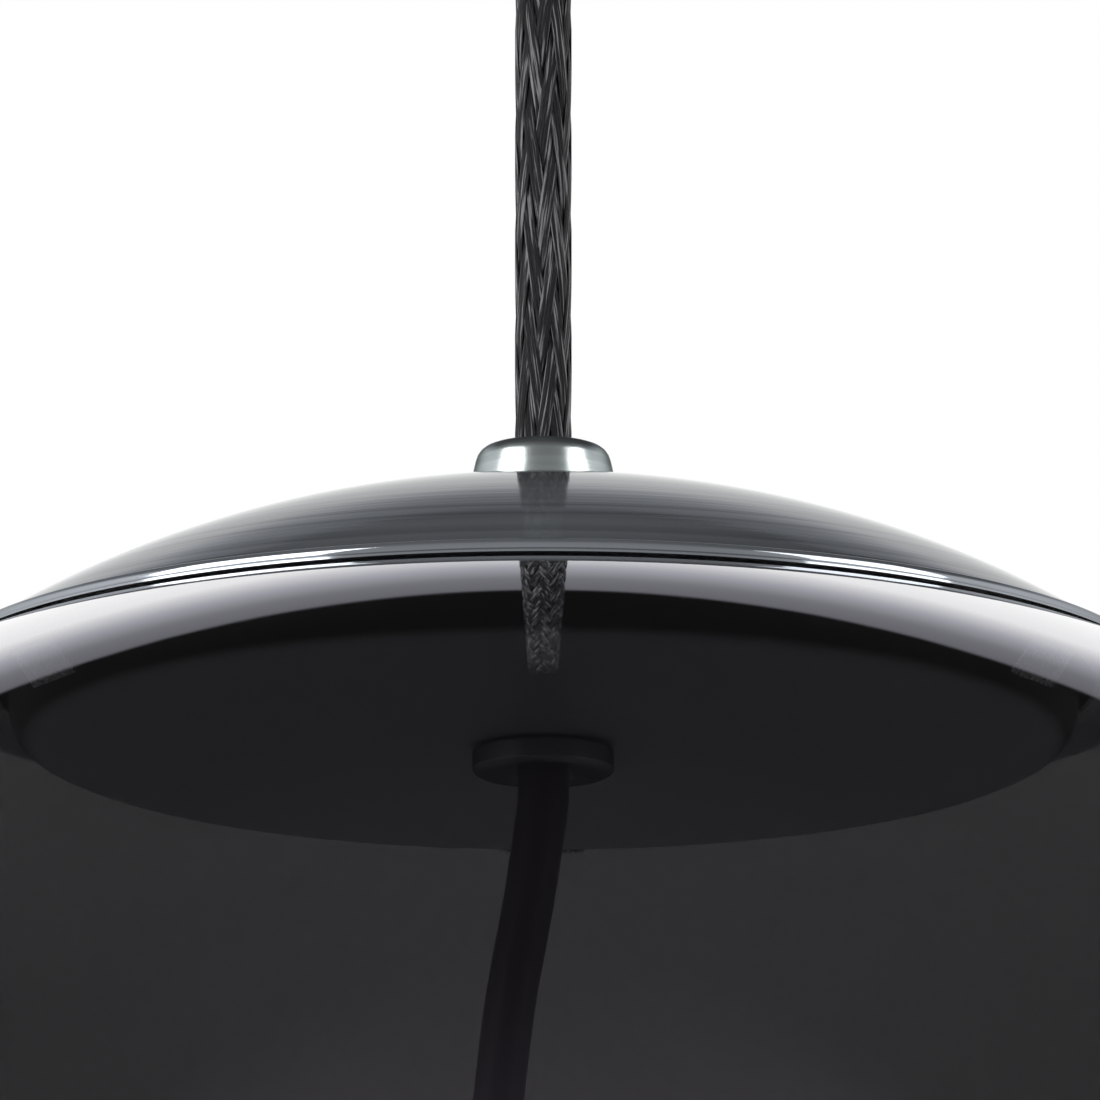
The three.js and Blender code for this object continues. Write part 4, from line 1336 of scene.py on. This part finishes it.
holder_r = HOLDER_R / MM
cap_low, cap_top = heights("holder_cap", HOLDER_Z)
crown = 11.0
holder_cap = turned("holder_cap_moulded", HOLDER_Z, [
    (grip_hole, cap_top, 0.2), (holder_r - crown, cap_top),
    *arc(holder_r - crown, cap_top - crown, crown, 82, 0, 14),
    (holder_r, cap_low, 0.3), (holder_r - 2, cap_low, 0.2),
    *arc(holder_r - crown, cap_top - crown, crown - 2, 0, 90, 10),
    (grip_hole, cap_top - 2, 0.2),
], sides=128)
fitted(holder_cap, "holder", "black_resin", black_resin, "holder_cap")

body_low, body_top = heights("holder_body", HOLDER_Z)
ribs = []
for z in spread(body_top - 9, body_low + 9, 11):
    ribs += [(holder_r, z + 0.9, 0.25), (holder_r - 0.7, z + 0.45, 0.2),
             (holder_r - 0.7, z - 0.1, 0.2), (holder_r, z - 0.55, 0.25)]
holder_body = turned("holder_body_moulded", HOLDER_Z, [
    (holder_r - 2, body_top, 0.2), (holder_r, body_top, 0.4), *ribs,
    (holder_r, body_low + 1, 0.3), (holder_r - 0.4, body_low, 0.3), (holder_r - 2, body_low, 0.3),
], sides=128)
fitted(holder_body, "holder", "black_resin", black_resin, "holder_body")

# %% Holder, inside
shell_low, shell_top = heights("holder_screw_shell", HOLDER_Z)
shell_r = radius("holder_screw_shell") / MM - 0.25
inner_wall = down(shell_r - 0.6, shell_low + 0.2, shell_top - 1, 0.4)
screw_shell = turned("holder_screw_shell_rolled", HOLDER_Z, [
    (5, shell_top, 0.15), *down(shell_r, shell_top, shell_low, 0.4), *inner_wall,
    (5, shell_top - 0.6, 0.15),
], sides=96, thread=(shell_low, shell_top - 1, 3.6, 0.5))
fitted(screw_shell, "holder", "brass", brass, "holder_screw_shell")

contact_low = heights("holder_centre_contact", HOLDER_Z)[0]
contact = turned("holder_contact_pressed", HOLDER_Z, [
    (0, shell_top), (2.5, shell_top, 0.15), (2.5, contact_low + 0.5, 0.15),
    (1.8, contact_low, 0.4), (0, contact_low),
], sides=48)
fitted(contact, "holder", "brass", brass, "holder_centre_contact")

pin_length = tall("holder_terminal_screw_1")
pin = fixing("holder_terminal", [
    (0, 0), (1.2, 0), *down(1.35, 0.3, pin_length - 1.3, 0.2), (1.6, pin_length - 1.1, 0.1),
    (1.6, pin_length, 0.25), (0, pin_length),
], slot=(0.5, 1.2, pin_length), thread=(0.2, pin_length - 1.1, 0.7, 0.3))
pins = ["holder_terminal_screw_1", "holder_terminal_screw_2"]
placed("holder_terminals", pin, [(end_of(node), (0, 0, 1)) for node in pins],
       "holder", "brass", brass, *pins)

# %% [markdown]
# ## Lamp
# The lamp is a clear globe lamp with a screw cap of thin nickelled sheet and a black glass
# insulator. A glass stem carries four upright filament sticks coated with yellow phosphor.

# %% Lamp finishes


def lamp_glass_finish():
    it = Finish("lamp_clear")
    flow = it.noise(30, 2.0)
    return it.set(
        Base_Color=it.mixed(flow, (0.55, 0.57, 0.58), (0.7, 0.72, 0.72)),
        Roughness=0.03 + flow * 0.04,
        Alpha=0.16,
        Coat_Weight=0.6,
        Coat_Roughness=0.03,
        Normal=it.bumped(flow, 0.1 * MM, 0.1),
    )


lamp_clear = lamp_glass_finish()
phosphor = grained_finish(
    "phosphor", (0.75, 0.5, 0.06), (0.85, 0.66, 0.16), 1500, 0.25, 0.05, 0.6
)

# %% Lamp cap and contact
tip = high("lamp_tip_contact")
lamp_cap_r = radius("lamp_screw_cap") / MM
cap_bottom, cap_high = heights("lamp_screw_cap", tip)
tip_contact = turned("lamp_tip_soldered", tip, [
    (0, -1.4), (4, -1.4, 0.2), (3.8, -0.7, 0.5), (2.4, -0.05, 0.6), (0, 0),
], sides=64)
fitted(tip_contact, "lamp", "brass", brass, "lamp_tip_contact")
insulator_low, insulator_high = heights("lamp_insulator", tip)
insulator = turned("lamp_insulator_glass", tip, [
    (0, insulator_high), (4.6, insulator_high, 0.4), (9, insulator_low, 0.3), (0, insulator_low),
], sides=64)
fitted(insulator, "lamp", "black_resin", black_resin, "lamp_insulator")
thin = 0.4
wall = down(lamp_cap_r - 0.2, cap_high - 2.2, cap_bottom + 0.1, 0.4)
inner_side = [(r - thin, z) for r, z in reversed(wall)]
lamp_cap = turned("lamp_cap_rolled", tip, [
    (8, cap_high, 0.1), (lamp_cap_r - 1.7, cap_high, 0.5), *wall, *inner_side,
    (lamp_cap_r - 2.1, cap_high - thin, 0.3), (8, cap_high - thin, 0.1),
], sides=96, thread=(cap_bottom + 2.5, cap_high - 3, 3.6, 0.9))
fitted(lamp_cap, "lamp", "zinc", zinc, "lamp_screw_cap")

# %% Bulb
bulb_r = radius("lamp_glass") / MM
bulb_low, neck_top = heights("lamp_glass", tip)
bulb_z = bulb_low + bulb_r
neck_r = lamp_cap_r - 0.8
flare = [(neck_r, neck_top), (neck_r, neck_top - 10), (neck_r + 0.6, neck_top - 15.5),
         (neck_r + 2.9, neck_top - 22), (neck_r + 7, neck_top - 29)]
shoulder = [(bulb_r * math.cos(t), bulb_z + bulb_r * math.sin(t))
            for t in spread(math.radians(30), math.radians(-90), 40)]
bulb_line = [Vector((r, 0, z)) for r, z in [*flare, *shoulder[:-1:5], shoulder[-2]]]
outside = [(max(p.x, 0.3), p.z) for p in eased(bulb_line, 5)]
inside = [(max(r - 1, 0.2), z if z > bulb_z else bulb_z + (z - bulb_z) * (bulb_r - 1) / bulb_r)
          for r, z in reversed(outside)]
bulb = turned("lamp_glass_blown", tip, [
    (0, bulb_z - bulb_r + 1), *inside, *outside, (0, bulb_z - bulb_r),
], sides=128)
fitted(bulb, "lamp", "lamp_clear", lamp_clear, "lamp_glass")

# %% Stem and filaments
stem_low, stem_high = heights("lamp_stem", tip)
stem = turned("lamp_stem_drawn", tip, [
    (0, stem_high), (10, stem_high, 0.5), (10, stem_high - 3, 1), (4.6, stem_high - 13, 4),
    (2.8, stem_high - 19, 2), (2.4, stem_low + 4, 1), (3.4, stem_low + 1.4, 0.8),
    (2.2, stem_low, 0.8), (0, stem_low),
], sides=64)
fitted(stem, "lamp", "lamp_clear", lamp_clear, "lamp_stem")

sticks = [f"lamp_filament_{i}" for i in (1, 2, 3, 4)]
stick_rise = 36.0
stick_length = math.hypot(stick_rise, 4)
stick = fixing("filament", [
    (0, 0), (0.45, 0.05), (0.45, 1.5), (1, 1.8, 0.2), (1, stick_length - 1.8, 0.2),
    (0.45, stick_length - 1.5), (0.45, stick_length - 0.05), (0, stick_length),
])
feet = []
for k, node in enumerate(sticks):
    t = math.radians(90 * k + 45)
    across = Vector((math.cos(t), math.sin(t), 0)) * MM
    foot = across * 11 + Vector((0, 0, low(node)))
    feet.append((foot, (across * -4 + Vector((0, 0, stick_rise * MM))).normalized()))
placed("filament_sticks", stick, feet, "lamp", "phosphor", phosphor, *sticks)

# %% [markdown]
# ## Hanging in mid air
# Only the stretch of cord next to the cap is shown, so the ceiling fitting is much closer to
# the globe here than in a room. There it is too far off to show in the mirror, and so here it
# is kept out of reflections.

# %% Keep the ceiling fitting out of the mirror
for item in at_ceiling:
    item.visible_glossy = False
print(len(at_ceiling), "pieces of the ceiling fitting")
